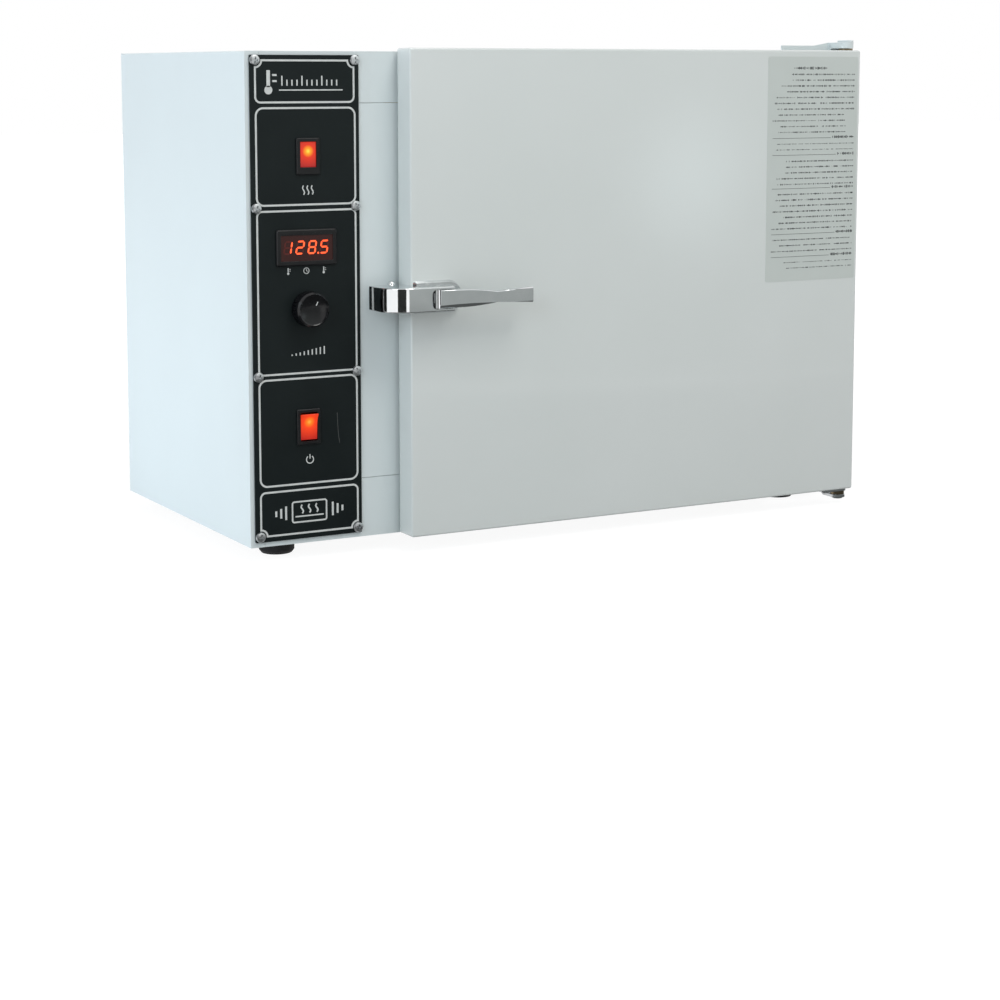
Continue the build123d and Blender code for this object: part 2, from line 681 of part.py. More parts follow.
# Moulded connector strip with a row of wire entries and screw wells
with BuildPart() as terminal_block:
    slab((92.0, 132.0), (terminal_y, terminal_y + 22), (sheet, 14.0))
    slab((92.0, 132.0), (terminal_y + 5, terminal_y + 17), (14.0, 22.0))
    for number in range(4):
        x = 97.0 + number * 10.0
        post(x, terminal_y + 11, (16.0, 22.0), 2.6, Mode.SUBTRACT)
        slab((x - 2, x + 2), (terminal_y, terminal_y + 8), (6.5, 10.5), Mode.SUBTRACT)

# Cord gland: hexagon and domed cap outside the back, threaded tail and nut inside
gland_hex = 11.5

with BuildPart() as cable_gland:
    with BuildSketch(facing(depth)):
        with Locations((gland_x, gland_z)):
            RegularPolygon(gland_hex, 6)
    extrude(amount=-6.0)
    with BuildSketch(Plane(origin=(gland_x, depth + 6, gland_z), x_dir=(1, 0, 0),
                           z_dir=(0, 0, 1))):
        with BuildLine():
            Polyline((0, 0), (9.2, 0), (9.2, gland_reach - 12), (7.9, gland_reach - 8),
                     (5.2, gland_reach - 6), (0, gland_reach - 6), close=True)
        make_face()
    revolve(axis=Axis((gland_x, 0, gland_z), (0, 1, 0)))
    rod(gland_x, gland_z, (back_face - 12, depth), 7.8)
    rod(gland_x, gland_z, (back_face - 12, depth + gland_reach), gland_bore, Mode.SUBTRACT)

with BuildPart() as gland_nut:
    with BuildSketch(facing(back_face - 5)):
        with Locations((gland_x, gland_z)):
            RegularPolygon(gland_hex, 6)
    extrude(amount=-5.0)
    rod(gland_x, gland_z, (back_face - 5, back_face), 7.8, Mode.SUBTRACT)

with BuildPart() as fuse_holder:
    rod(fuse_x, gland_z, (depth, depth + 2.4), 9.0)
    chamfer(fuse_holder.edges().sort_by(Axis.Y)[-1], 1.0)
    rod(fuse_x, gland_z, (depth + 2.4, depth + 9), 6.4)
    slab((fuse_x - 5, fuse_x + 5), (depth + 7.6, depth + 9), (gland_z - 0.8, gland_z + 0.8),
         Mode.SUBTRACT)
    rod(fuse_x, gland_z, (back_face - 30, depth), 6.0)
    slab((fuse_x - 0.4, fuse_x + 0.4), (back_face - 38, back_face - 30),
         (gland_z - 3, gland_z + 3))

# Feet

foot_bore = 2.6
foot_well = 5.5
foot_well_depth = 7.0

# Rubber feet with a rounded rim and a well for the screw head
with BuildPart() as rubber_feet:
    for x, y in foot_places:
        with BuildSketch(Plane(origin=(x, y, -foot_height), x_dir=(1, 0, 0), z_dir=(0, -1, 0))):
            with BuildLine():
                Polyline((foot_well, 0), (foot_radius - 2.4, 0), (foot_radius, 3.0),
                         (foot_radius, foot_height), (foot_bore, foot_height),
                         (foot_bore, foot_well_depth), (foot_well, foot_well_depth), close=True)
            make_face()
        revolve(axis=Axis((x, y, 0), (0, 0, 1)))

with BuildPart() as foot_screws:
    for x, y in foot_places:
        post(x, y, (-foot_height + foot_well_depth - 3.2, -foot_height + foot_well_depth), 4.6)
        post(x, y, (-foot_height + foot_well_depth, sheet + 3.5), 2.4)
        with BuildSketch(Plane.XY.offset(sheet)):
            with Locations((x, y)):
                RegularPolygon(4.5, 6)
        extrude(amount=3.5)

# Hinges

nose_gap = 2.2
nose_radius = 8.0
nose_drop = 7.0
bracket_left = hinge_x - 70.0
bracket_back = 26.0
bracket_front = 3.0
nose_left = hinge_x - nose_radius
nose_right = hinge_x + nose_radius


def nose_outline(inset, back):
    """Plan of the rounded nose round the pivot, drawn inset from its rim, in the open line."""
    Line((nose_left + inset, back), (nose_left + inset, hinge_y))
    ThreePointArc((nose_left + inset, hinge_y), (hinge_x, hinge_y - nose_radius + inset),
                  (nose_right - inset, hinge_y))
    Polyline((nose_right - inset, hinge_y), (nose_right - inset, back), (nose_left + inset, back))


def pivot_bracket(face, away, step):
    """Hinge plate on a face of the cabinet, stepped away from it and run out to the pivot."""
    far = face + away * bracket_sheet
    with BuildPart() as bracket:
        with BuildSketch(Plane.XY.offset(min(face, far))) as base_outline:
            with BuildLine():
                Polyline((bracket_left + 7, bracket_back), (bracket_left, bracket_back - 6),
                         (bracket_left, bracket_front), (nose_right, bracket_front),
                         (nose_right, bracket_back), close=True)
            make_face()
            fillet(base_outline.vertices().sort_by(Axis.X)[0], 2.0)
        extrude(amount=bracket_sheet)
        with BuildSketch(Plane.YZ.offset(nose_left)):
            with BuildLine():
                Polyline((bracket_front, face), (bracket_front - 6.5, face + away * step),
                         (bracket_front - 6.5, far + away * step),
                         (bracket_front - 5.2, far + away * step),
                         (bracket_front + 1.3, far), (bracket_front + 1.3, face), close=True)
            make_face()
        extrude(amount=nose_right - nose_left)
        with BuildSketch(Plane.XY.offset(min(face, far) + away * step)):
            with BuildLine():
                nose_outline(0, bracket_front - 6.0)
            make_face()
        extrude(amount=bracket_sheet)
        low = min(face, face + away * 20)
        post(hinge_x, hinge_y, (low, low + 20), hinge_pin_radius, Mode.SUBTRACT)
        for x, y in hinge_screw_places:
            post(x, y, (min(face, far), max(face, far)), hinge_screw_radius + clear,
                 Mode.SUBTRACT)
    return bracket


rim_sheet = 2.0
rim_left = hinge_x - 67.0
rim_low = 8.3
rim_high = 14.2
top_nose = door_top + nose_gap

# The upper plate has an upturned rim along its front edge and round its nose
with BuildPart() as top_hinge_bracket:
    add(pivot_bracket(height, 1, top_nose - height).part)
    with BuildSketch(Plane.XY.offset(top_nose + bracket_sheet)):
        with BuildLine():
            nose_outline(0, bracket_front + rim_sheet)
        make_face()
        with BuildLine():
            nose_outline(rim_sheet, bracket_front + rim_sheet)
        make_face(mode=Mode.SUBTRACT)
    extrude(amount=rim_high)
    slab((rim_left, nose_left + rim_sheet), (bracket_front, bracket_front + rim_sheet),
         (height + bracket_sheet, height + rim_high))
    slab((nose_right - rim_sheet, nose_right), (bracket_front - 3.0, bracket_front + rim_sheet),
         (height + bracket_sheet, height + rim_high))
    slab((nose_left, nose_left + rim_sheet), (bracket_front - 3.0, bracket_front + rim_sheet),
         (height + bracket_sheet, height + rim_high))
    with BuildSketch(facing(bracket_front + rim_sheet)):
        with BuildLine():
            Polyline((rim_left - 1, height + rim_low), (hinge_x - 26, height + rim_low),
                     (nose_right + 1, height + rim_high), (nose_right + 1, height + 40),
                     (rim_left - 1, height + 40), close=True)
        make_face()
    extrude(amount=60, mode=Mode.SUBTRACT)

bottom_hinge_bracket = pivot_bracket(0.0, -1, nose_drop)

bottom_nose = -nose_drop
pin_bite = 12.0
pin_head = 3.2
pin_head_radius = 5.6
bottom_pin_head = 1.4

# Pivot pins, one down into the door's top edge and one up into its bottom edge
with BuildPart() as hinge_pins:
    post(hinge_x, hinge_y, (door_top - pin_bite, top_nose + bracket_sheet), hinge_pin_radius)
    post(hinge_x, hinge_y, (top_nose + bracket_sheet, top_nose + bracket_sheet + pin_head),
         pin_head_radius)
    chamfer(hinge_pins.edges().sort_by(Axis.Z)[-1], 0.8)
    post(hinge_x, hinge_y, (bottom_nose - bracket_sheet, door_bottom + pin_bite),
         hinge_pin_radius)
    post(hinge_x, hinge_y, (bottom_nose - bracket_sheet - bottom_pin_head,
                            bottom_nose - bracket_sheet), pin_head_radius)

top_face = Plane.XY.offset(height + bracket_sheet)
under_face = Plane(origin=(0, 0, -bracket_sheet), x_dir=(1, 0, 0), z_dir=(0, 0, -1))

with BuildPart() as hinge_screws:
    add(pan_head_screws(hinge_screw_places, top_face, 8.0, hinge_screw_radius, 4.0).part)
    add(pan_head_screws([(x, -y) for x, y in hinge_screw_places], under_face, 8.0,
                        hinge_screw_radius, 4.0).part)

# Keeper on the cabinet front: folded bracket, roller and its domed pin

ear_inner = 7.4
ear_sheet = 2.0
ear_left = roller_x - 5.4
ear_right = roller_x + 6.4

with BuildPart() as keeper_bracket:
    slab((keeper_left, keeper_right), (-ear_sheet, 0), (latch_z - keeper_half, latch_z + keeper_half))
    slab((keeper_left, keeper_left + 2.5), (-ear_sheet, 0), (latch_z - 1.2, latch_z + 1.2),
         Mode.SUBTRACT)
    for low in (latch_z + ear_inner, latch_z - ear_inner - ear_sheet):
        with BuildSketch(Plane.XY.offset(low)):
            with BuildLine():
                Polyline((ear_left, -ear_sheet), (ear_left, roller_y))
                ThreePointArc((ear_left, roller_y), (roller_x + 0.4, roller_y - 4.6),
                              (ear_right, roller_y))
                Polyline((ear_right, roller_y), (ear_right, -ear_sheet), (ear_left, -ear_sheet))
            make_face()
        extrude(amount=ear_sheet)
        post(roller_x, roller_y, (low, low + ear_sheet), 2.0, Mode.SUBTRACT)
    for side in (-1, 1):
        with Locations(Plane(origin=(keeper_screw_x, -ear_sheet, latch_z + side * keeper_screw_half),
                             z_dir=(0, -1, 0))):
            CounterSinkHole(1.6 + clear, 3.2, ear_sheet)

with BuildPart() as keeper_screws:
    for side in (-1, 1):
        z = latch_z + side * keeper_screw_half
        rod(keeper_screw_x, z, (-0.6, 8), 1.6)
        with Locations((keeper_screw_x, -ear_sheet, z)):
            Cone(3.1, 1.6, 1.5, rotation=(-90, 0, 0), align=(Align.CENTER, Align.CENTER, Align.MIN))

dome_height = 5.6
dome_radius = 4.6
dome_foot = ear_inner + ear_sheet

# Roller on a pin between the ears, with the pin's domed head above
with BuildPart() as keeper_roller:
    with BuildSketch(Plane(origin=(roller_x, roller_y, latch_z), x_dir=(1, 0, 0),
                           z_dir=(0, -1, 0))):
        with BuildLine():
            Polyline((0, -ear_inner - ear_sheet), (2.0, -ear_inner - ear_sheet),
                     (2.0, -ear_inner + 0.1), (roller_radius, -ear_inner + 0.1),
                     (roller_radius, ear_inner - 0.1), (2.0, ear_inner - 0.1),
                     (2.0, dome_foot), (dome_radius, dome_foot),
                     (0.9 * dome_radius, dome_foot + 0.44 * dome_height),
                     (0.62 * dome_radius, dome_foot + 0.82 * dome_height),
                     (0.2 * dome_radius, dome_foot + dome_height),
                     (0, dome_foot + dome_height), (0, -ear_inner - ear_sheet))
        make_face()
    revolve(axis=Axis((roller_x, roller_y, 0), (0, 0, 1)))

# Door

door_width = door_right - door_left
door_middle_x = (door_left + door_right) / 2
door_middle_z = (door_bottom + door_top) / 2
door_height = door_top - door_bottom
bush_radius = 6.0
bush_flange = 7.4
leaf_screw_x = hinge_x - 17.0

# Folded outer pan: front, four sides and a lip all round the back
with BuildPart() as door_pan:
    with BuildSketch(facing(door_back)):
        with Locations((door_middle_x, door_middle_z)):
            RectangleRounded(door_width, door_height, 2.4)
    extrude(amount=door_thickness)
    fillet(door_pan.faces().sort_by(Axis.Y)[0].edges(), 2.0)
    slab((door_left + sheet, door_right - sheet), (door_front + sheet, door_back - sheet),
         (door_bottom + sheet, door_top - sheet), Mode.SUBTRACT)
    slab((door_left + door_lip, door_right - door_lip), (door_back - sheet, door_back),
         (door_bottom + door_lip, door_top - door_lip), Mode.SUBTRACT)
    for z in ((door_bottom, door_bottom + sheet), (door_top - sheet, door_top)):
        post(hinge_x, hinge_y, z, bush_radius, Mode.SUBTRACT)
    post(leaf_screw_x, hinge_y, (door_bottom, door_bottom + sheet), 1.8, Mode.SUBTRACT)

seal_left = chamber_left + liner_sheet - gasket_reach
seal_right = chamber_right - liner_sheet + gasket_reach
seal_bottom = chamber_bottom + liner_sheet - gasket_reach
seal_top = chamber_top - liner_sheet + gasket_reach
seal_x = (seal_left + seal_right) / 2
seal_z = (seal_bottom + seal_top) / 2
channel_depth = 6.2
panel_back = door_back + inner_sheet
inner_screw_places = [(x, z) for x in (door_left + 9.0, door_right - 9.0)
                      for z in (door_bottom + 40.0, door_middle_z, door_top - 40.0)]
inner_screw_places += [(door_middle_x, z) for z in (door_bottom + 9.0, door_top - 9.0)]


def seal_band(half):
    """Ring of the seal's own centre line, widened by half each way, in the open sketch."""
    RectangleRounded(seal_right - seal_left + 2 * half, seal_top - seal_bottom + 2 * half,
                     12.0 + half)
    RectangleRounded(seal_right - seal_left - 2 * half, seal_top - seal_bottom - 2 * half,
                     12.0 - half, mode=Mode.SUBTRACT)


# Stainless inner sheet with the seal's channel and a shallow stiffening panel pressed in
with BuildPart() as door_inner_panel:
    slab((door_left + 3, door_right - 3), (door_back, panel_back),
         (door_bottom + 3, door_top - 3))
    with BuildSketch(facing(door_back)):
        with Locations((seal_x, seal_z)):
            seal_band(gasket_width / 2 + inner_sheet)
    extrude(amount=channel_depth)
    with BuildSketch(facing(panel_back)):
        with Locations((seal_x, seal_z)):
            seal_band(gasket_width / 2)
    extrude(amount=channel_depth, mode=Mode.SUBTRACT)
    with BuildSketch(facing(door_back)):
        with Locations((seal_x, seal_z)):
            RectangleRounded(seal_right - seal_left - 90, seal_top - seal_bottom - 90, 14.0)
    extrude(amount=3.0)
    with BuildSketch(facing(panel_back)):
        with Locations((seal_x, seal_z)):
            RectangleRounded(seal_right - seal_left - 92, seal_top - seal_bottom - 92, 13.0)
    extrude(amount=3.0, mode=Mode.SUBTRACT)
    for x, z in inner_screw_places:
        rod(x, z, (door_back, panel_back), 1.8, Mode.SUBTRACT)

with BuildPart(mode=Mode.PRIVATE) as pan_screw_holes:
    for x, z in inner_screw_places:
        rod(x, z, (door_back - sheet, door_back), 1.8)
door_pan.part = door_pan.part - pan_screw_holes.part

# Silicone seal with a rounded face, squeezed just short of the cabinet
with BuildPart() as door_gasket:
    with BuildSketch(facing(panel_back - channel_depth)):
        with Locations((seal_x, seal_z)):
            seal_band(gasket_width / 2)
    extrude(amount=-(channel_depth - panel_back - liner_sheet - clear))
    chamfer(door_gasket.faces().sort_by(Axis.Y)[-1].edges(), 1.5)

door_slab_back = door_back - channel_depth

with BuildPart() as door_insulation:
    slab((door_left + sheet, hinge_x - 26), (door_front + sheet, door_slab_back),
         (door_bottom + sheet, door_top - sheet))

door_panel_screws = pan_head_screws([(-x, z) for x, z in inner_screw_places],
                                    facing_back(panel_back), 6.0, 1.5, 3.2)

# Flanged bushes that carry the door on its pins
with BuildPart() as hinge_bushes:
    post(hinge_x, hinge_y, (door_top - pin_bite - 1, door_top), bush_radius)
    post(hinge_x, hinge_y, (door_top, top_nose - clear), bush_flange)
    post(hinge_x, hinge_y, (door_bottom, door_bottom + pin_bite + 1), bush_radius)
    post(hinge_x, hinge_y, (bottom_nose + clear, door_bottom - bracket_sheet), bush_flange)
    post(hinge_x, hinge_y, (door_bottom - bracket_sheet, door_bottom), bush_radius)
    post(hinge_x, hinge_y, (bottom_nose, door_bottom + pin_bite + clear),
         hinge_pin_radius + running_gap, Mode.SUBTRACT)
    post(hinge_x, hinge_y, (door_top - pin_bite - clear, top_nose + 1),
         hinge_pin_radius + running_gap, Mode.SUBTRACT)

# Plated leaf screwed under the door round the lower pin
with BuildPart() as door_hinge_leaf:
    with BuildSketch(Plane.XY.offset(door_bottom - bracket_sheet)):
        with Locations((hinge_x - 8, hinge_y)):
            RectangleRounded(32.0, 15.0, 5.0)
    extrude(amount=bracket_sheet)
    post(hinge_x, hinge_y, (door_bottom - bracket_sheet, door_bottom), bush_radius, Mode.SUBTRACT)
    post(leaf_screw_x, hinge_y, (door_bottom - bracket_sheet - 1.6, door_bottom - bracket_sheet),
         3.4)
    post(leaf_screw_x, hinge_y, (door_bottom - bracket_sheet, door_bottom + 5), 1.6)

# Latch

latch_low = latch_z - latch_height / 2
latch_high = latch_z + latch_height / 2
nose_back = -12.0
nose_side = door_left - 35.0
nose_bend = 26.0
body_right = lever_pin_x + 12.0
cavity_low = latch_low + latch_wall
cavity_high = latch_high - latch_wall
slot_left = lever_pin_x - 11.6
body_face = latch_front + 2.0
base_left = door_left + 2.0
base_right = lever_pin_x + 33.0
base_half = 15.5
base_thick = 4.2

# Die-cast latch body: its nose wraps round the door's edge, its face is slotted for the lever
with BuildPart() as latch_housing:
    with BuildSketch(Plane.XY.offset(latch_low)):
        with BuildLine():
            Line((nose_side, nose_back), (nose_side, body_face + nose_bend))
            RadiusArc((nose_side, body_face + nose_bend), (nose_side + nose_bend, body_face),
                      -nose_bend)
            Polyline((nose_side + nose_bend, body_face), (body_right, body_face),
                     (body_right + 9, door_front), (door_left, door_front),
                     (door_left, nose_back), (nose_side, nose_back))
        make_face()
    extrude(amount=latch_height)
    fillet(latch_housing.edges().group_by(Axis.Z)[-1].filter_by_position(Axis.Y, -99, -31), 1.2)
    fillet(latch_housing.edges().group_by(Axis.Z)[0].filter_by_position(Axis.Y, -99, -31), 1.2)
    with BuildSketch(facing(door_front)) as base_outline:
        with Locations(((base_left + base_right) / 2, latch_z)):
            Rectangle(base_right - base_left, 2 * base_half)
        fillet(base_outline.vertices().group_by(Axis.X)[-1], base_half - 0.5)
        fillet(base_outline.vertices().group_by(Axis.X)[0], 3.0)
    extrude(amount=base_thick, taper=24)
    inner_bend = nose_bend - latch_wall
    inner_face = body_face + latch_wall
    with BuildSketch(Plane.XY.offset(cavity_low)):
        with BuildLine():
            Line((nose_side + latch_wall, nose_back), (nose_side + latch_wall,
                                                       body_face + nose_bend))
            RadiusArc((nose_side + latch_wall, body_face + nose_bend),
                      (nose_side + nose_bend, inner_face), -inner_bend)
            Polyline((nose_side + nose_bend, inner_face), (body_right - 2, inner_face),
                     (body_right + 5, door_front), (door_left, door_front),
                     (door_left, nose_back), (nose_side + latch_wall, nose_back))
        make_face()
    extrude(amount=cavity_high - cavity_low, mode=Mode.SUBTRACT)
    with BuildSketch(facing(body_face)) as slot_outline:
        with Locations(((slot_left + base_right) / 2, latch_z)):
            Rectangle(base_right - slot_left, cavity_high - cavity_low)
        fillet(slot_outline.vertices().group_by(Axis.X)[0], 5.0)
    extrude(amount=-(door_front - base_thick - body_face), mode=Mode.SUBTRACT)
    for x, y in ((lever_pin_x, lever_pin_y), (bolt_pin_x, bolt_pin_y)):
        post(x, y, (latch_low, latch_high), latch_pin_radius, Mode.SUBTRACT)

with BuildPart() as latch_pins:
    for x, y in ((lever_pin_x, lever_pin_y), (bolt_pin_x, bolt_pin_y)):
        post(x, y, (latch_low, latch_high), latch_pin_radius)

lever_left = lever_pin_x - 7.2
lever_low = cavity_low + 0.4
lever_high = cavity_high - 0.4
lever_face = latch_front
cam_radius = 6.4
cam_flat = 2.1
facet_height = 5.6
facet_depth = 3.4
neck_x = lever_tip_x - 41.0

# Pull lever: one outline seen from above, cut by another seen from the front
with BuildPart() as latch_lever:
    with BuildSketch(Plane.XY.offset(lever_low)):
        with BuildLine():
            Polyline((lever_left, lever_face + 8.0), (lever_left, lever_face + 4.0))
            RadiusArc((lever_left, lever_face + 4.0), (lever_left + 4.0, lever_face + 0.6), 3.7)
            ThreePointArc((lever_left + 4.0, lever_face + 0.6), (neck_x - 16, lever_face),
                          (lever_tip_x - 1.0, lever_face + 2.4))
            Polyline((lever_tip_x - 1.0, lever_face + 2.4), (lever_tip_x, lever_face + 3.6),
                     (lever_tip_x - 0.8, lever_face + 6.0))
            ThreePointArc((lever_tip_x - 0.8, lever_face + 6.0), (neck_x - 6, lever_face + 7.6),
                          (lever_pin_x + 14, lever_face + 9.6))
            Polyline((lever_pin_x + 14, lever_face + 9.6), (lever_pin_x + 6, lever_pin_y),
                     (lever_pin_x - 4, lever_pin_y),
                     (lever_left, lever_face + 8.0))
        make_face()
        with Locations((lever_pin_x, lever_pin_y)):
            Circle(cam_radius)
    extrude(amount=lever_high - lever_low)
    with BuildSketch(facing(lever_face - 1)):
        with BuildLine():
            Line((lever_left - 5, lever_low), (lever_left - 5, lever_high))
            Line((lever_left - 5, lever_high), (neck_x - 31, lever_high - 0.4))
            ThreePointArc((neck_x - 31, lever_high - 0.4), (neck_x - 13, latch_z + 7.0),
                          (neck_x, latch_z + 5.2))
            Line((neck_x, latch_z + 5.2), (lever_tip_x - 1.2, latch_z + 7.3))
            ThreePointArc((lever_tip_x - 1.2, latch_z + 7.3), (lever_tip_x, latch_z),
                          (lever_tip_x - 1.2, latch_z - 7.3))
            Line((lever_tip_x - 1.2, latch_z - 7.3), (neck_x, latch_z - 5.2))
            ThreePointArc((neck_x, latch_z - 5.2), (neck_x - 13, latch_z - 7.0),
                          (neck_x - 31, lever_low + 0.4))
            Line((neck_x - 31, lever_low + 0.4), (lever_left - 5, lever_low))
        make_face()
    extrude(amount=-40, mode=Mode.INTERSECT)
    slab((lever_left - 8, lever_pin_x + 8), (lever_pin_y + cam_flat, lever_pin_y + 12),
         (lever_low, lever_high), Mode.SUBTRACT)
    with BuildSketch(Plane.YZ.offset(lever_left - 1)):
        with BuildLine():
            Polyline((lever_face - 2, lever_low + facet_height + 1.0),
                     (lever_face + facet_depth, lever_low - 1.0), (lever_face - 2, lever_low - 1.0),
                     close=True)
        make_face()
    extrude(amount=neck_x - lever_left + 1, mode=Mode.SUBTRACT)
    for side in (-1, 1):
        for x, size in ((neck_x - 4, 0.2), (lever_tip_x + 1, 1.0)):
            with BuildSketch(Plane.YZ.offset(x)):
                with BuildLine():
                    edge = latch_z + side * 8.0
                    Polyline((lever_face - 1, edge - side * (1.0 + 6.0 * size)),
                             (lever_face + 1.0 + 3.6 * size, edge + side), (lever_face - 1, edge + side),
                             close=True)
                make_face()
        loft(mode=Mode.SUBTRACT)
    post(lever_pin_x, lever_pin_y, (lever_low, lever_high), latch_pin_radius + running_gap,
         Mode.SUBTRACT)

bolt_half = 5.0
claw_left = roller_x - 13.5
claw_right = roller_x - roller_radius - 0.6
claw_back = -3.4
tail_right = lever_pin_x - 4.6

# Hooked bolt on its own pin; the lever's cam pushes its tail and swings the claw aside
with BuildPart() as latch_bolt:
    with BuildSketch(Plane.XY.offset(latch_z - bolt_half)) as bolt_outline:
        with BuildLine():
            Polyline((bolt_pin_x, bolt_pin_y - 5.0), (claw_left + 9.0, bolt_pin_y - 5.0),
                     (claw_left, bolt_pin_y + 5.0), (claw_left, claw_back - 6.0),
                     (claw_left + 3.4, claw_back), (claw_right - 1.2, claw_back),
                     (claw_right, claw_back - 2.0), (claw_right, bolt_pin_y + 8.0),
                     (claw_right + 4.0, bolt_pin_y + 5.0), (bolt_pin_x, bolt_pin_y + 5.0),
                     (tail_right - 2.0, bolt_pin_y + 5.6), (tail_right, bolt_pin_y + 4.0),
                     (tail_right, lever_pin_y + cam_flat + 0.6),
                     (bolt_pin_x + 4.6, bolt_pin_y - 1.0), close=True)
        make_face()
        with Locations((bolt_pin_x, bolt_pin_y)):
            Circle(5.0)
    extrude(amount=2 * bolt_half)
    post(bolt_pin_x, bolt_pin_y, (latch_z - bolt_half, latch_z + bolt_half),
         latch_pin_radius + running_gap, Mode.SUBTRACT)

spring_wire = 0.5
spring_radius = 3.1
spring_turns = 3
spring_pitch = 1.04
spring_start = latch_z + bolt_half + spring_wire + 0.02

# Torsion spring round the bolt's pin, with one leg on the body's front wall
with BuildPart() as latch_spring:
    with BuildLine():
        Helix(pitch=spring_pitch, height=spring_pitch * spring_turns, radius=spring_radius,
              center=(bolt_pin_x, bolt_pin_y, spring_start))
    with BuildSketch(Plane(origin=(bolt_pin_x + spring_radius, bolt_pin_y,
                                   spring_start), z_dir=(0, 1, 0))):
        RegularPolygon(spring_wire, 6)
    sweep(is_frenet=True)

# The row's origin: on the floor, under the middle of everything

front_reach = -latch_front
to_origin = Location((-width / 2, -(depth + gland_reach - front_reach) / 2, foot_height))

pieces = {
    "casing_wrap": casing_wrap,
    "base_pan": base_pan,
    "back_panel": back_panel,
    "rear_screws": rear_screws,
    "top_rail": top_rail,
    "bottom_rail": bottom_rail,
    "front_column": front_column,
    "right_stile": right_stile,
    "chamber_liner": chamber_liner,
    "roof_and_floor_insulation": roof_and_floor_insulation,
    "side_insulation": side_insulation,
    "back_insulation": back_insulation,
    "partition_wall": partition_wall,
    "heating_element": heating_element,
    "temperature_probe": temperature_probe,
    "floor_baffle": floor_baffle,
    "shelf_rack_left": shelf_rack_left,
    "shelf_rack_right": shelf_rack_right,
    "wire_shelf_lower": wire_shelf_lower,
    "wire_shelf_upper": wire_shelf_upper,
    "control_panel": control_panel,
    "panel_screws": panel_screws,
    "lamp_housing": lamp_housing,
    "lamp_lens": lamp_lens,
    "display_bezel": display_bezel,
    "display_window": display_window,
    "display_module": display_module,
    "potentiometer": potentiometer,
    "potentiometer_shaft": potentiometer_shaft,
    "control_knob": control_knob,
    "switch_housing": switch_housing,
    "power_rocker": power_rocker,
    "control_board": control_board,
    "board_standoffs": board_standoffs,
    "transformer": transformer,
    "terminal_block": terminal_block,
    "cable_gland": cable_gland,
    "gland_nut": gland_nut,
    "fuse_holder": fuse_holder,
    "rubber_feet": rubber_feet,
    "foot_screws": foot_screws,
    "top_hinge_bracket": top_hinge_bracket,
    "bottom_hinge_bracket": bottom_hinge_bracket,
    "hinge_pins": hinge_pins,
    "hinge_screws": hinge_screws,
    "keeper_bracket": keeper_bracket,
    "keeper_roller": keeper_roller,
    "keeper_screws": keeper_screws,
    "door_pan": door_pan,
    "door_inner_panel": door_inner_panel,
    "door_insulation": door_insulation,
    "door_gasket": door_gasket,
    "door_panel_screws": door_panel_screws,
    "hinge_bushes": hinge_bushes,
    "door_hinge_leaf": door_hinge_leaf,
    "latch_housing": latch_housing,
    "latch_pins": latch_pins,
    "latch_lever": latch_lever,
    "latch_bolt": latch_bolt,
    "latch_spring": latch_spring,
}

for label, piece in pieces.items():
    placed = piece.part.moved(to_origin)
    placed.label = label
    export_step(placed, f"parts/{label}.step")
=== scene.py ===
# %% [markdown]
# A bench-top laboratory oven, dressed for its portrait.
# The construction model gives every sheet, hinge and latch its place and size. It is
# loaded first and never moved. What follows adds finishes, print, light and a camera.

# %% Load the construction model
import json
import math

import bmesh
import bpy
from mathutils import Matrix, Vector

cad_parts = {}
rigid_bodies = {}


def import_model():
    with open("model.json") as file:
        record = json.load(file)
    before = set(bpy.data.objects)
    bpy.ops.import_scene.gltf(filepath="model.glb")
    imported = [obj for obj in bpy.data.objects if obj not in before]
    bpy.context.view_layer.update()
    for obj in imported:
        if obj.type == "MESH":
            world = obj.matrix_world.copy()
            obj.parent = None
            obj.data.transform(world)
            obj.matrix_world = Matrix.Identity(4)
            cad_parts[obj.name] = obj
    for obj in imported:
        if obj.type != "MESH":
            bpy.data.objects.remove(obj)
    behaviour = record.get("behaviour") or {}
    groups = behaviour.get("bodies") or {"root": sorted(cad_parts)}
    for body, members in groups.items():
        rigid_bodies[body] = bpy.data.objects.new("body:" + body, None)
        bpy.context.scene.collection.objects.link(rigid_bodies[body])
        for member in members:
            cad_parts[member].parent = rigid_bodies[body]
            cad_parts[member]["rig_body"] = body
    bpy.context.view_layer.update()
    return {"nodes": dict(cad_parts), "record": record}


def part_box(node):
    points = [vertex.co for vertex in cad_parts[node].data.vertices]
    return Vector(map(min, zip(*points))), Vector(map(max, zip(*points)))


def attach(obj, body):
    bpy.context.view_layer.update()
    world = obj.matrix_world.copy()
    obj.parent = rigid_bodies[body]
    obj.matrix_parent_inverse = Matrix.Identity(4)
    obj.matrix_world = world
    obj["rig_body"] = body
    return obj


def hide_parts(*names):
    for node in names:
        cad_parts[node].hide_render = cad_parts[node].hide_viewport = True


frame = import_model()
nodes = frame["nodes"]

# %% [markdown]
# Sizes on the oven are easiest to read in millimetres from the cabinet's lower front left
# corner: x to the right, y back, z up. One helper turns such a place into metres.

# %% A ruler on the cabinet's corner
mm = 0.001
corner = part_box("casing_wrap")[0]


def at(x, y, z):
    """A place in millimetres from the cabinet's lower front left corner, in metres."""
    return corner + Vector((x, y, z)) * mm


def front_of(node):
    """How far the node's front lies from the cabinet's front, in millimetres."""
    return (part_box(node)[0].y - corner.y) / mm


panel_face = front_of("control_panel")
door_face = front_of("door_pan")
print("panel face", round(panel_face, 2), "door face", round(door_face, 2))

# %% [markdown]
# The camera stands at the photograph's place, to the left of the oven and a little above
# its middle. The lens is long, so the oven's far edges hardly shrink. The picture's
# centre lies below the line of sight, which a small shift of the lens gives.

# %% Helper that adds an object


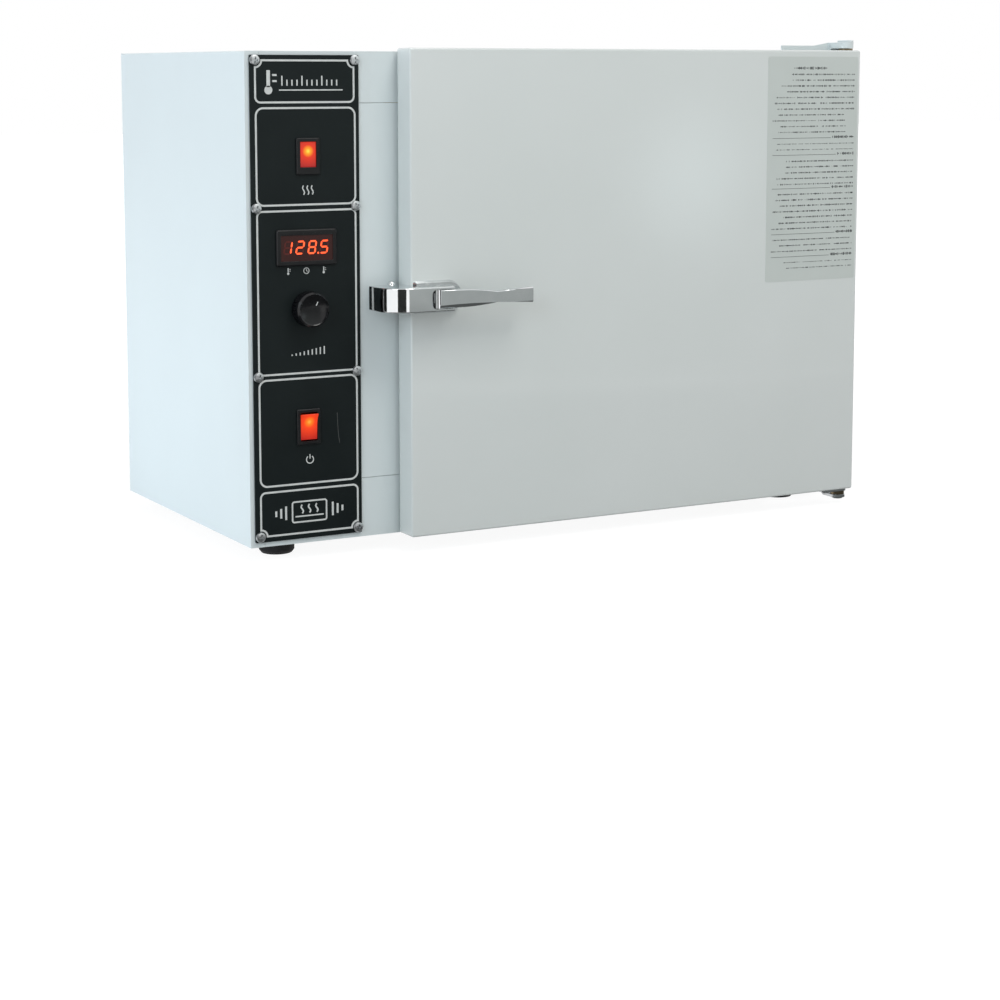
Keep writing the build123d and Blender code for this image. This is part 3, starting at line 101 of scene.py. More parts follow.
def link_object(name, data):
    """A new object in the scene."""
    ob = bpy.data.objects.new(name, data)
    bpy.context.scene.collection.objects.link(ob)
    return ob


# %% Camera
yaw = math.radians(28.97)
pitch = math.radians(7.14)
sensor_width = 36
picture_width = 1000
focal_pixels = 2210.8
sight_row = 350
camera_data = bpy.data.cameras.new("portrait_camera")
camera_data.sensor_width = sensor_width
camera_data.lens = focal_pixels / picture_width * sensor_width
camera_data.shift_y = (sight_row - picture_width / 2) / picture_width
camera_data.clip_start = 0.1
camera_data.clip_end = 60
camera = link_object("portrait_camera", camera_data)
camera.location = at(-776.2, -1881.1, 439.85)
camera.rotation_euler = (math.pi / 2 - pitch, 0, -yaw)
bpy.context.scene.camera = camera
print("camera at", [round(v, 3) for v in camera.location], "lens", round(camera_data.lens, 1))

# %% [markdown]
# The world, the finishes and the repeated pieces are all trees of nodes. Two helpers keep
# them short: one feeds a node's sockets with values or with other nodes, and one adds a
# node and feeds it. The others are small parts that come back in several trees.

# %% Helpers for node trees


def feed(tree, node, sockets):
    """Gives sockets, by name or place, a value, another socket or a node's first output."""
    for place, value in sockets.items():
        if isinstance(value, bpy.types.Node):
            value = value.outputs[0]
        if isinstance(value, bpy.types.NodeSocket):
            tree.links.new(value, node.inputs[place])
        else:
            node.inputs[place].default_value = value


def put(tree, kind, sockets=None, **settings):
    """Adds a node with its settings and feeds its sockets."""
    node = tree.nodes.new(kind)
    for label, value in settings.items():
        setattr(node, label, value)
    feed(tree, node, sockets or {})
    return node


def number(tree, operation, a, b):
    """One sum of two sockets or numbers."""
    return put(tree, "ShaderNodeMath", {0: a, 1: b}, operation=operation).outputs[0]


def bare_tree(owner):
    """The emptied node tree of a material or a world."""
    owner.use_nodes = True
    owner.node_tree.nodes.clear()
    return owner.node_tree


def object_place(tree):
    """The place on the object that a material colours."""
    return put(tree, "ShaderNodeTexCoord").outputs["Object"]


def seen_directly(tree):
    """1 for rays from the camera, from a mirror or through glass, and 0 for the rest."""
    path = put(tree, "ShaderNodeLightPath").outputs
    mirrored = number(tree, "MAXIMUM", path["Is Camera Ray"], path["Is Glossy Ray"])
    return number(tree, "MAXIMUM", mirrored, path["Is Transmission Ray"])


# %% [markdown]
# Light: a pale room and three large soft lamps. One stands low on the left, one at the
# front left corner, and the strongest hangs high in front. A faint fourth one close to the
# left side stands for the light that white paper throws back at its foot. The left side is
# the brightest face, and the door's front falls off gently downwards. Chrome looks like
# chrome only if it has something dark to mirror, so dark and grey cards stand where only
# reflections see them.

# %% World
world = bpy.data.worlds.new("pale_room")
bpy.context.scene.world = world
sky = bare_tree(world)
sky_light = put(sky, "ShaderNodeBackground", {"Color": (0.97, 0.985, 1.0, 1), "Strength": 0.50})
sky_seen = put(sky, "ShaderNodeBackground", {"Color": (1, 1, 1, 1), "Strength": 1.0})
sky_mix = put(sky, "ShaderNodeMixShader",
              {"Fac": seen_directly(sky), 1: sky_light, 2: sky_seen})
put(sky, "ShaderNodeOutputWorld", {"Surface": sky_mix})
print("world", world.name)

# %% Lamps


def soft_lamp(name, place, aim, size, power, colour):
    """A large square lamp that looks at a point."""
    data = bpy.data.lights.new(name, "AREA")
    data.shape = "SQUARE"
    data.size = size
    data.energy = power
    data.color = colour
    lamp = link_object(name, data)
    lamp.location = place
    lamp.rotation_euler = (Vector(aim) - Vector(place)).to_track_quat("-Z", "Y").to_euler()
    return lamp


left_window = soft_lamp("left_window", (-2.5, 0.20, 0.38), (-0.3, 0.0, 0.05), 1.5, 23,
                        (0.78, 0.89, 1.0))
soft_lamp("corner_window", (-2.3, -1.6, 1.2), (-0.2, -0.2, 0.3), 1.2, 12.5, (0.78, 0.92, 1.0))
soft_lamp("front_window", (0.4, -1.7, 2.85), (0.0, -0.1, 0.47), 1.4, 33, (1.0, 0.985, 0.955))
paper_bounce = soft_lamp("paper_bounce", (-0.60, 0.08, -0.02), (-0.34, 0.08, -0.02), 0.4, 0.30,
                         (0.72, 0.88, 1.0))
paper_bounce.visible_camera = False
for lamp in (left_window, paper_bounce):
    lamp.visible_glossy = False

# %% [markdown]
# The floor is white paper. Most of what the camera sees of it is an even glow, so that it
# meets the white room without a line, and the rest is real light, which keeps the shadow.
# The glow's share grows with the distance from the oven. From below the paper is clear.

# %% Floor
reach = 14.0
floor_mesh = bpy.data.meshes.new("paper_floor")
floor_mesh.from_pydata([(-reach, -reach, 0), (reach, -reach, 0), (reach, reach, 0),
                        (-reach, reach, 0)], [], [(0, 1, 2, 3)])
floor = link_object("paper_floor", floor_mesh)
paper = bpy.data.materials.new("white_paper")
tree = bare_tree(paper)
distance = put(tree, "ShaderNodeVectorMath", {0: object_place(tree)},
               operation="LENGTH").outputs["Value"]
even = put(tree, "ShaderNodeMapRange", {
    "Value": distance, "From Min": 0.7, "From Max": 2.0, "To Min": 0.74, "To Max": 0.98})
share = number(tree, "MULTIPLY", seen_directly(tree), even)
glow = put(tree, "ShaderNodeEmission", {"Strength": 1.25})
matt = put(tree, "ShaderNodeBsdfDiffuse", {"Color": (0.60, 0.60, 0.60, 1)})
above = put(tree, "ShaderNodeMixShader", {"Fac": share, 1: matt, 2: glow})
below = put(tree, "ShaderNodeBsdfTransparent")
from_below = put(tree, "ShaderNodeNewGeometry").outputs["Backfacing"]
both_sides = put(tree, "ShaderNodeMixShader", {"Fac": from_below, 1: above, 2: below})
put(tree, "ShaderNodeOutputMaterial", {"Surface": both_sides})
floor_mesh.materials.append(paper)
print("floor", reach)

# %% Cards for the reflections


def card_finish(name, low, high):
    """A glow that rises from one grey at the card's foot to another a metre up."""
    material = bpy.data.materials.new(name)
    tree = bare_tree(material)
    height = put(tree, "ShaderNodeSeparateXYZ", {0: object_place(tree)}).outputs["Z"]
    grey = put(tree, "ShaderNodeMapRange", {"Value": height, "To Min": low, "To Max": high})
    glow = put(tree, "ShaderNodeEmission", {"Color": (0.94, 1.0, 0.98, 1), "Strength": grey})
    put(tree, "ShaderNodeOutputMaterial", {"Surface": glow})
    return material


def gleam_finish(name, middle, radius, strength):
    """A round glow that fades to its rim, clear where it ends."""
    material = bpy.data.materials.new(name)
    tree = bare_tree(material)
    away = put(tree, "ShaderNodeVectorMath", {0: object_place(tree), 1: middle},
               operation="DISTANCE").outputs["Value"]
    fade = put(tree, "ShaderNodeMapRange", {
        "Value": away, "From Max": radius, "To Min": strength, "To Max": 0.0},
        interpolation_type="SMOOTHSTEP")
    glow = put(tree, "ShaderNodeEmission", {"Color": (0.80, 0.95, 1.0, 1), "Strength": fade})
    clear = put(tree, "ShaderNodeBsdfTransparent")
    both = put(tree, "ShaderNodeAddShader", {0: glow, 1: clear})
    put(tree, "ShaderNodeOutputMaterial", {"Surface": both})
    return material


def card(name, corners, material):
    """A card with four corners, seen in reflections alone."""
    mesh = bpy.data.meshes.new(name)
    mesh.from_pydata(corners, [], [(0, 1, 2, 3)])
    mesh.materials.append(material)
    board = link_object(name, mesh)
    board.visible_camera = False
    board.visible_diffuse = False
    board.visible_shadow = False
    board.visible_transmission = False


def upright_card(name, first, last, height, low, high):
    """An upright card between two points on the floor."""
    foot = 0.002
    card(name, [(*first, foot), (*last, foot), (*last, height), (*first, height)],
         card_finish(name, low, high))


upright_card("card_left", (-1.10, 0.60), (-1.28, -0.10), 1.4, 0.01, 0.03)
upright_card("card_front", (-1.02, -0.98), (-0.40, -1.32), 1.4, 0.02, 0.10)
upright_card("card_right", (-0.16, -1.22), (1.75, -0.95), 1.5, 0.34, 0.95)
low_place = 0.003
card("card_low", [(-0.7, -0.16, low_place), (1.8, -0.16, low_place), (1.8, -1.0, low_place),
                  (-0.7, -1.0, low_place)], card_finish("card_low", 0.10, 0.10))
gleam_x, gleam_y, gleam_z = gleam_middle = (0.735, -1.02, 0.345)
gleam_radius = 0.17
card("gleam_card", [(gleam_x + side * gleam_radius, gleam_y, gleam_z + rise * gleam_radius)
                    for side, rise in ((-1, -1), (1, -1), (1, 1), (-1, 1))],
     gleam_finish("gleam_card", gleam_middle, gleam_radius, 1.9))

# %% [markdown]
# Finishes. Every surface of the oven is made of a few effects that come back in many
# materials: a fine grain, a broad unevenness, and brushing. Each effect is a node group
# with named inputs, built once and placed in each material with its own values.

# %% Helper for node groups
FLOAT = "NodeSocketFloat"
VECTOR = "NodeSocketVector"
INT = "NodeSocketInt"
GEOMETRY = "NodeSocketGeometry"
MATERIAL = "NodeSocketMaterial"


def group_tree(name, kind, inputs, outputs):
    """A node group: (name, kind, value) for each input, (name, kind) for each output."""
    group = bpy.data.node_groups.new(name, kind)
    for label, socket_kind, value in inputs:
        socket = group.interface.new_socket(label, in_out="INPUT", socket_type=socket_kind)
        if value is not None:
            socket.default_value = value
    for label, socket_kind in outputs:
        group.interface.new_socket(label, in_out="OUTPUT", socket_type=socket_kind)
    return group, put(group, "NodeGroupInput").outputs


# %% Grain: fine pores over a broad unevenness
grain_group, start = group_tree(
    "surface_grain", "ShaderNodeTree",
    [("Place", VECTOR, None), ("Fine Scale", FLOAT, 900.0), ("Broad Scale", FLOAT, 9.0)],
    [("Fine", FLOAT), ("Broad", FLOAT)])
fine, broad = (
    put(grain_group, "ShaderNodeTexNoise",
        {"Vector": start["Place"], "Scale": start[scale], "Detail": detail})
    for scale, detail in (("Fine Scale", 2.0), ("Broad Scale", 3.0)))
put(grain_group, "NodeGroupOutput", {"Fine": fine, "Broad": broad})
print("group", grain_group.name)

# %% Brushing: long hairlines one way
brush_group, start = group_tree(
    "brushed_lines", "ShaderNodeTree",
    [("Place", VECTOR, None), ("Along", VECTOR, (1.0, 1.0, 1.0)), ("Scale", FLOAT, 60.0)],
    [("Lines", FLOAT)])
stretch = put(brush_group, "ShaderNodeVectorMath", {0: start["Place"], 1: start["Along"]},
              operation="MULTIPLY")
lines = put(brush_group, "ShaderNodeTexNoise",
            {"Vector": stretch, "Scale": start["Scale"], "Detail": 4.0})
put(brush_group, "NodeGroupOutput", {"Lines": lines})
print("group", brush_group.name)

# %% [markdown]
# A finish is one Principled shader. The grain steers its colour between two close tones,
# its roughness between two values and a very shallow bump. Brushed metals add hairlines.

# %% Helper that makes a finish
finishes = {}


def principled(name):
    """A new material: its tree, its shader and the place on the object."""
    material = bpy.data.materials.new(name)
    material.use_nodes = True
    finishes[name] = material
    tree = material.node_tree
    return tree, tree.nodes["Principled BSDF"], object_place(tree)


def finish(name, dark, pale, rough, fine_scale=900.0, broad_scale=9.0, bump=0.02,
           metal=0.0, coat=0.0, coat_rough=0.1, brushed=None, brush_scale=60.0,
           specular=0.5, depth=0.0002):
    """A material whose colour and roughness wander between two values each."""
    tree, shader, place = principled(name)
    if brushed:
        brush = put(tree, "ShaderNodeGroup", {
            "Place": place, "Along": brushed, "Scale": brush_scale}, node_tree=brush_group)
        height = wander = brush.outputs["Lines"]
    else:
        grain = put(tree, "ShaderNodeGroup", {
            "Place": place, "Fine Scale": fine_scale, "Broad Scale": broad_scale},
            node_tree=grain_group)
        height = grain.outputs["Fine"]
        wander = grain.outputs["Broad"]
    spread = put(tree, "ShaderNodeMapRange", {"Value": wander, "From Min": 0.3, "From Max": 0.7})
    tone = put(tree, "ShaderNodeMix", {"Factor": spread, "A": (*dark, 1), "B": (*pale, 1)},
               data_type="RGBA")
    gloss = put(tree, "ShaderNodeMapRange", {
        "Value": wander, "To Min": rough[0], "To Max": rough[1]})
    relief = put(tree, "ShaderNodeBump", {
        "Strength": bump, "Distance": depth, "Height": height})
    feed(tree, shader, {
        "Base Color": tone.outputs["Result"], "Roughness": gloss, "Normal": relief,
        "Metallic": metal, "Coat Weight": coat, "Coat Roughness": coat_rough,
        "Specular IOR Level": specular})


# %% [markdown]
# The casing is sprayed with a white powder paint. Baked powder has a faint orange peel,
# so the fine noise is a few millimetres wide there and very shallow. The door is a shade
# greyer and glossier, which is why the latch shows in it as a soft reflection.

# %% Paints
finish("white_paint", (0.745, 0.81, 0.815), (0.78, 0.845, 0.85), (0.30, 0.42),
       fine_scale=420, broad_scale=5, bump=0.05)
finish("door_paint", (0.745, 0.785, 0.765), (0.78, 0.815, 0.80), (0.16, 0.24),
       fine_scale=380, broad_scale=4, bump=0.035, coat=0.4, coat_rough=0.06)
finish("black_panel", (0.0075, 0.0115, 0.0120), (0.0105, 0.0155, 0.0160), (0.34, 0.46),
       fine_scale=1500, broad_scale=14, bump=0.06, specular=0.18)
print("paints", sorted(finishes))

# %% Metals
finish("zinc", (0.60, 0.62, 0.64), (0.74, 0.75, 0.76), (0.24, 0.40), fine_scale=1400,
       broad_scale=120, bump=0.05, metal=1.0)
finish("stainless", (0.60, 0.60, 0.59), (0.70, 0.70, 0.69), (0.24, 0.36),
       brushed=(1.0, 1.0, 60.0), brush_scale=14, bump=0.04, metal=1.0)
finish("galvanised", (0.50, 0.52, 0.54), (0.66, 0.68, 0.69), (0.30, 0.50), fine_scale=500,
       broad_scale=90, bump=0.05, metal=1.0)
finish("latch_chrome", (0.70, 0.72, 0.73), (0.78, 0.79, 0.80), (0.045, 0.10),
       fine_scale=300, broad_scale=40, bump=0.03, metal=1.0, depth=0.0003)
finish("shelf_chrome", (0.66, 0.66, 0.67), (0.78, 0.78, 0.79), (0.10, 0.20),
       fine_scale=900, broad_scale=80, bump=0.03, metal=1.0)
finish("element_sheath", (0.10, 0.09, 0.085), (0.26, 0.22, 0.19), (0.38, 0.60),
       fine_scale=1100, broad_scale=35, bump=0.10, metal=1.0)
finish("brass", (0.62, 0.45, 0.18), (0.76, 0.60, 0.30), (0.20, 0.34), fine_scale=1200,
       broad_scale=90, bump=0.04, metal=1.0)
finish("bush_bronze", (0.20, 0.155, 0.10), (0.30, 0.24, 0.16), (0.28, 0.42), fine_scale=1200,
       broad_scale=90, bump=0.04, metal=1.0)
finish("spring_steel", (0.40, 0.40, 0.41), (0.55, 0.55, 0.56), (0.22, 0.36),
       fine_scale=1400, broad_scale=200, bump=0.04, metal=1.0)
finish("core_steel", (0.16, 0.16, 0.165), (0.28, 0.28, 0.29), (0.34, 0.55),
       brushed=(90.0, 1.0, 1.0), brush_scale=18, bump=0.20, metal=0.6)
print("paints and metals", len(finishes))

# %% Plastics, rubber, wool and silicone
finish("black_plastic", (0.006, 0.006, 0.007), (0.011, 0.011, 0.012), (0.30, 0.44),
       fine_scale=2400, broad_scale=60, bump=0.10, specular=0.35)
finish("knob_plastic", (0.004, 0.004, 0.005), (0.008, 0.008, 0.009), (0.14, 0.24),
       fine_scale=1800, broad_scale=70, bump=0.03, specular=0.4)
finish("white_nylon", (0.70, 0.70, 0.67), (0.80, 0.80, 0.77), (0.40, 0.52),
       fine_scale=1600, broad_scale=60, bump=0.05)
finish("circuit_board", (0.02, 0.12, 0.05), (0.05, 0.22, 0.09), (0.25, 0.40),
       fine_scale=700, broad_scale=160, bump=0.08)
finish("foot_rubber", (0.012, 0.012, 0.012), (0.030, 0.030, 0.031), (0.62, 0.82),
       fine_scale=1300, broad_scale=90, bump=0.25, specular=0.3)
finish("seal_silicone", (0.60, 0.60, 0.58), (0.70, 0.70, 0.68), (0.45, 0.60),
       fine_scale=1100, broad_scale=50, bump=0.08)
finish("mineral_wool", (0.45, 0.38, 0.22), (0.68, 0.60, 0.40), (0.85, 0.98),
       brushed=(1.0, 1.0, 7.0), brush_scale=150, bump=0.9, depth=0.002, specular=0.1)
print("finishes", len(finishes))

# %% [markdown]
# The lamp, the rocker and the digits shine by themselves. Their glow is brightest at one
# spot, where the bulb sits behind the plastic, and fades into a deep red round it. The
# distance from that spot, in Object coordinates, drives both colours.

# %% Helper that makes a glowing plastic


def glowing(name, spot, radius, core, halo, ring, rim, strength, body_colour,
            squeeze=(1, 1, 1)):
    """Red plastic lit from behind: core, halo, ring and rim are the colours outwards."""
    tree, shader, place = principled(name)
    shifted = put(tree, "ShaderNodeMapping", {
        "Vector": place, "Scale": squeeze,
        "Location": [-s * k for s, k in zip(spot, squeeze)]}, vector_type="POINT")
    away = put(tree, "ShaderNodeVectorMath", {0: shifted}, operation="LENGTH").outputs["Value"]
    share = put(tree, "ShaderNodeMapRange", {"Value": away, "From Max": radius})
    ramp = put(tree, "ShaderNodeValToRGB", {"Fac": share})
    ramp.color_ramp.elements[0].color = (*core, 1)
    ramp.color_ramp.elements[1].color = (*rim, 1)
    for stop, colour in ((0.15, halo), (0.34, ring)):
        ramp.color_ramp.elements.new(stop).color = (*colour, 1)
    noise = put(tree, "ShaderNodeTexNoise", {"Vector": place, "Scale": 500})
    tone = put(tree, "ShaderNodeMix", {
        "Factor": noise, "A": (*body_colour, 1), "B": (*[c * 1.5 for c in body_colour], 1)},
        data_type="RGBA")
    gloss = put(tree, "ShaderNodeMapRange", {"Value": noise, "To Min": 0.16, "To Max": 0.26})
    feed(tree, shader, {
        "Emission Color": ramp, "Emission Strength": strength,
        "Base Color": tone.outputs["Result"], "Roughness": gloss})


lamp_spot = at(60.8, panel_face - 1.4, 368.3)
rocker_low, rocker_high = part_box("power_rocker")
rocker_spot = Vector(((rocker_low.x + rocker_high.x) / 2, rocker_low.y, corner.z + 0.1155))
glowing("red_lens", lamp_spot, 0.017, (1.0, 0.86, 0.08), (1.0, 0.36, 0.012),
        (0.74, 0.035, 0.008), (0.27, 0.012, 0.015), 1.0, (0.07, 0.005, 0.005))
glowing("red_rocker", rocker_spot, 0.017, (1.0, 0.62, 0.10), (1.0, 0.24, 0.015),
        (0.92, 0.06, 0.010), (0.42, 0.015, 0.008), 1.0, (0.10, 0.006, 0.005),
        squeeze=(1.0, 0.4, 1.0))
glowing("lit_digit", at(58, panel_face, 279), 0.05, (1.0, 0.13, 0.03), (1.0, 0.12, 0.03),
        (1.0, 0.11, 0.025), (0.95, 0.09, 0.02), 1.5, (0.5, 0.02, 0.01))
finish("smoked_window", (0.036, 0.005, 0.004), (0.048, 0.008, 0.006), (0.05, 0.10),
       fine_scale=900, broad_scale=40, bump=0.01)
finish("ghost_digit", (0.085, 0.008, 0.005), (0.105, 0.011, 0.007), (0.20, 0.30),
       fine_scale=900, broad_scale=60, bump=0.01)

# %% Print and paper
finish("white_print", (0.62, 0.64, 0.63), (0.72, 0.74, 0.72), (0.45, 0.60),
       fine_scale=2600, broad_scale=120, bump=0.05)
finish("label_sheet", (0.615, 0.66, 0.63), (0.645, 0.69, 0.66), (0.28, 0.38),
       fine_scale=1500, broad_scale=12, bump=0.05)
finish("label_ink", (0.035, 0.040, 0.040), (0.07, 0.08, 0.08), (0.50, 0.62),
       fine_scale=2600, broad_scale=200, bump=0.02)
finish("scratch_mark", (0.055, 0.058, 0.056), (0.085, 0.090, 0.086), (0.5, 0.6),
       fine_scale=2600, broad_scale=300, bump=0.02)
print("materials", len(finishes))

# %% [markdown]
# Each node of the construction model first gets the finish that its record names. Round
# and folded pieces then get a finer stand-in: the node's own mesh, merged and cleaned,
# with small rounded edges, because a bent sheet has no perfectly sharp edge and it is the
# rounding that catches the light.

# %% Paint every node
slots = {row["node"]: row["material_slot"] for row in frame["record"]["subparts"]}
slot_finish = {"brass_standoff": "brass", "brass_bush": "bush_bronze",
               "module_plastic": "black_plastic"}
for name, ob in nodes.items():
    material = finishes[slot_finish.get(slots[name], slots[name])]
    if not ob.material_slots:
        ob.data.materials.append(material)
    for place in ob.material_slots:
        place.material = material
print("painted", len(slots))

# %% Helpers that add a piece


def add_piece(name, mesh, body, material):
    """Links a finished mesh, gives it its material and lets it ride on its body."""
    ob = link_object(name, mesh)
    mesh.materials.clear()
    mesh.materials.append(material)
    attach(ob, body)
    return ob


def mesh_of(name, bm):
    """The shape under construction as a finished mesh."""
    mesh = bpy.data.meshes.new(name)
    bm.to_mesh(mesh)
    bm.free()
    return mesh


def baked(ob):
    """The object's evaluated mesh as a plain mesh, with its modifiers removed."""
    bpy.context.view_layer.update()
    graph = bpy.context.evaluated_depsgraph_get()
    mesh = bpy.data.meshes.new_from_object(ob.evaluated_get(graph), depsgraph=graph)
    ob.modifiers.clear()
    ob.data = mesh
    return ob


def sharp_edges(mesh, angle):
    """Smooth shading that breaks at edges sharper than the angle."""
    bm = bmesh.new()
    bm.from_mesh(mesh)
    for face in bm.faces:
        face.smooth = True
    for edge in bm.edges:
        if len(edge.link_faces) == 2:
            edge.smooth = edge.calc_face_angle(0) < angle
    bm.to_mesh(mesh)
    bm.free()


def weigh_top_edge(bm, low, high):
    """Marks the long upper edge on the lever's front: the one that catches the light."""
    weights = bm.edges.layers.float.new("bevel_weight_edge")
    middle = (low + high) / 2
    shortest = 2.5 * mm
    front_depth = 4.5 * mm
    rounded_above = math.radians(60)
    shaded_below = math.radians(16)
    marked = 0
    for edge in bm.edges:
        a, b = (v.co for v in edge.verts)
        long_one = (a - b).length > shortest and len(edge.link_faces) == 2
        in_front = max(a.y, b.y) < low.y + front_depth and min(a.z, b.z) > middle.z
        turn = edge.calc_face_angle(0)
        if long_one and in_front and turn > rounded_above:
            edge[weights] = 1.0
            marked += 1
        else:
            edge.smooth = turn < shaded_below
    print("lever edges marked", marked)


def rounded(node, width, angle=34, segments=2):
    """Stands in for a node: its mesh merged, its flat faces joined, its edges rounded."""
    source = nodes[node]
    mesh = source.data.copy()
    mesh.name = node + "_fine"
    if "custom_normal" in mesh.attributes:
        mesh.attributes.remove(mesh.attributes["custom_normal"])
    bm = bmesh.new()
    bm.from_mesh(mesh)
    bmesh.ops.remove_doubles(bm, verts=bm.verts, dist=2e-6)
    bmesh.ops.dissolve_limit(bm, angle_limit=math.radians(0.4), verts=bm.verts,
                             edges=bm.edges, delimit={"NORMAL"})
    for face in bm.faces:
        face.smooth = True
    if node == "latch_lever":
        weigh_top_edge(bm, *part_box(node))
    bm.to_mesh(mesh)
    bm.free()
    paint = source.material_slots[0].material
    piece = add_piece(node + "_fine", mesh, source["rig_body"], paint)
    edge = piece.modifiers.new("rounding", "BEVEL")
    edge.width = width * mm
    edge.segments = segments
    edge.limit_method = "WEIGHT" if node == "latch_lever" else "ANGLE"
    edge.angle_limit = math.radians(angle)
    edge.miter_outer = "MITER_ARC"
    edge.harden_normals = True
    edge.use_clamp_overlap = node != "latch_lever"
    baked(piece)
    piece.data.materials.clear()
    piece.data.materials.append(paint)
    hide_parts(node)


# %% Round the pieces that show
roundings = {
    "casing_wrap": 0.35, "front_column": 0.2, "right_stile": 0.2, "top_rail": 0.2,
    "bottom_rail": 0.2, "control_panel": 0.25, "lamp_housing": 0.25, "lamp_lens": 0.2,
    "display_bezel": 0.3, "switch_housing": 0.25, "power_rocker": 0.35,
    "control_knob": 0.25, "latch_housing": 0.5, "latch_lever": 1.1, "latch_bolt": 0.3,
    "keeper_bracket": 0.3, "keeper_roller": 0.15, "top_hinge_bracket": 0.5,
    "bottom_hinge_bracket": 0.5, "door_hinge_leaf": 0.3, "hinge_bushes": 0.2,
    "hinge_pins": 0.3, "door_pan": 0.3, "door_inner_panel": 0.3, "rubber_feet": 0.3,
    "chamber_liner": 0.3, "base_pan": 0.2, "back_panel": 0.2}
crisp = {"latch_housing": 20}
for node, width in roundings.items():
    rounded(node, width, crisp.get(node, 34))
print("rounded", len(roundings), "pieces")

# %% [markdown]
# The print on the control panel: white lines frame its five fields. A line is a loop of
# straight runs and quarter turns. At the panel's screws the turn is hollow instead, so
# the line goes round the screw. The loop is drawn twice, half a line outside and half a
# line inside, and the two are joined into a thin raised band.

# %% Helpers for printed shapes


def frame_loop(x0, z0, x1, z1, turns, outward, steps=8):
    """Points of a rectangle with its corners turned; a negative radius is a hollow one."""
    corners = ((x0, z0, 180), (x1, z0, 270), (x1, z1, 0), (x0, z1, 90))
    points = []
    for (cx, cz, first), radius in zip(corners, turns):
        sx = 1 if cx == x0 else -1
        sz = 1 if cz == z0 else -1
        if radius >= 0:
            middle = (cx + sx * radius, cz + sz * radius)
            size = radius + outward
            angles = [first + 90 * i / steps for i in range(steps + 1)]
        else:
            middle = (cx, cz)
            size = -radius - outward
            angles = [first + 90 - 90 * i / steps + 180 for i in range(steps + 1)]
            reachx = math.sqrt(max(size * size - outward * outward, 0))
            edge = math.degrees(math.atan2(-outward, reachx))
            angles = [angles[0] - edge + (angles[-1] - angles[0] + 2 * edge) * i / steps
                      for i in range(steps + 1)]
        for angle in angles:
            a = math.radians(angle)
            points.append((middle[0] + size * math.cos(a), middle[1] + size * math.sin(a)))
    return points


def band(bm, outer, inner, y, thick, closed=True):
    """A raised band between two loops of (x, z) on the plane y, built towards the front."""
    rings = []
    for depth_y, loop in ((y, outer), (y - thick, outer), (y - thick, inner), (y, inner)):
        rings.append([bm.verts.new(at(x, depth_y, z)) for x, z in loop])
    count = len(outer)
    last = count if closed else count - 1
    for a, b in ((0, 1), (1, 2), (2, 3)):
        for i in range(last):
            j = (i + 1) % count
            bm.faces.new((rings[a][i], rings[a][j], rings[b][j], rings[b][i]))
    if not closed:
        for i in (0, count - 1):
            bm.faces.new([rings[k][i] for k in range(4)])


def plate(bm, loop, y, thick):
    """A flat raised shape with the outline loop of (x, z), built towards the front."""
    front = [bm.verts.new(at(x, y - thick, z)) for x, z in loop]
    back = [bm.verts.new(at(x, y, z)) for x, z in loop]
    bm.faces.new(front)
    for i in range(len(loop)):
        j = (i + 1) % len(loop)
        bm.faces.new((front[i], back[i], back[j], front[j]))


def stroke(bm, points, width, y, thick, closed=False):
    """A printed line of even width along a chain of (x, z)."""
    count = len(points)
    sides = ([], [])
    for i, (x, z) in enumerate(points):
        before = points[(i - 1) % count] if closed or i > 0 else points[0]
        after = points[(i + 1) % count] if closed or i < count - 1 else points[-1]
        along = Vector((after[0] - before[0], after[1] - before[1])).normalized()
        across = Vector((-along.y, along.x)) * width / 2
        sides[0].append((x + across.x, z + across.y))
        sides[1].append((x - across.x, z - across.y))
    band(bm, sides[0], sides[1], y, thick, closed)


def printed(name, build, body, material):
    """Collects what build draws into one piece with outward faces."""
    bm = bmesh.new()
    build(bm)
    bmesh.ops.recalc_face_normals(bm, faces=bm.faces)
    add_piece(name, mesh_of(name, bm), body, material)


# %% Frame lines
line_width = 1.8
ink = 0.12
fields = [
    (9.5, 413.2, 108.3, 451.4, (5, 5, -6.3, -6.3)),
    (9.7, 319.0, 109.2, 408.0, (7, 7, 7, 7)),
    (9.7, 162.0, 109.2, 313.5, (5, 5, 5, 5)),
    (9.7, 57.2, 109.2, 157.0, (7, 7, 7, 7)),
    (9.7, 10.2, 109.2, 51.5, (-6.3, -6.3, 5, 5))]


def framed(bm, x0, z0, x1, z1, turns, width):
    """A frame line on the control panel."""
    band(bm, frame_loop(x0, z0, x1, z1, turns, width / 2),
         frame_loop(x0, z0, x1, z1, turns, -width / 2), panel_face, ink)


def draw_fields(bm):
    """The frame lines of the panel's fields."""
    for field in fields:
        framed(bm, *field, line_width)


printed("panel_frame_lines", draw_fields, "cabinet", finishes["white_print"])
print("fields", len(fields))

# %% [markdown]
# Signs: rising heat under the lamp, two thermometers and a clock under the display, a
# growing wedge under the knob and the plain power sign under the switch. The lowest field
# has a chamber with heat, and the top one a thermometer over a scale.

# %% Signs


def circle_points(x, z, radius, first=0, turn=360, steps=24):
    """Points on an arc, counted from the right and turning left."""
    count = steps if turn == 360 else steps + 1
    return [(x + radius * math.cos(math.radians(first + turn * i / steps)),
             z + radius * math.sin(math.radians(first + turn * i / steps)))
            for i in range(count)]


def panel_line(bm, points, width, closed=False):
    """A printed line on the control panel."""
    stroke(bm, points, width, panel_face, ink, closed)


def panel_bar(bm, x, low, high, width):
    """An upright printed bar on the control panel."""
    panel_line(bm, [(x, low), (x, high)], width)


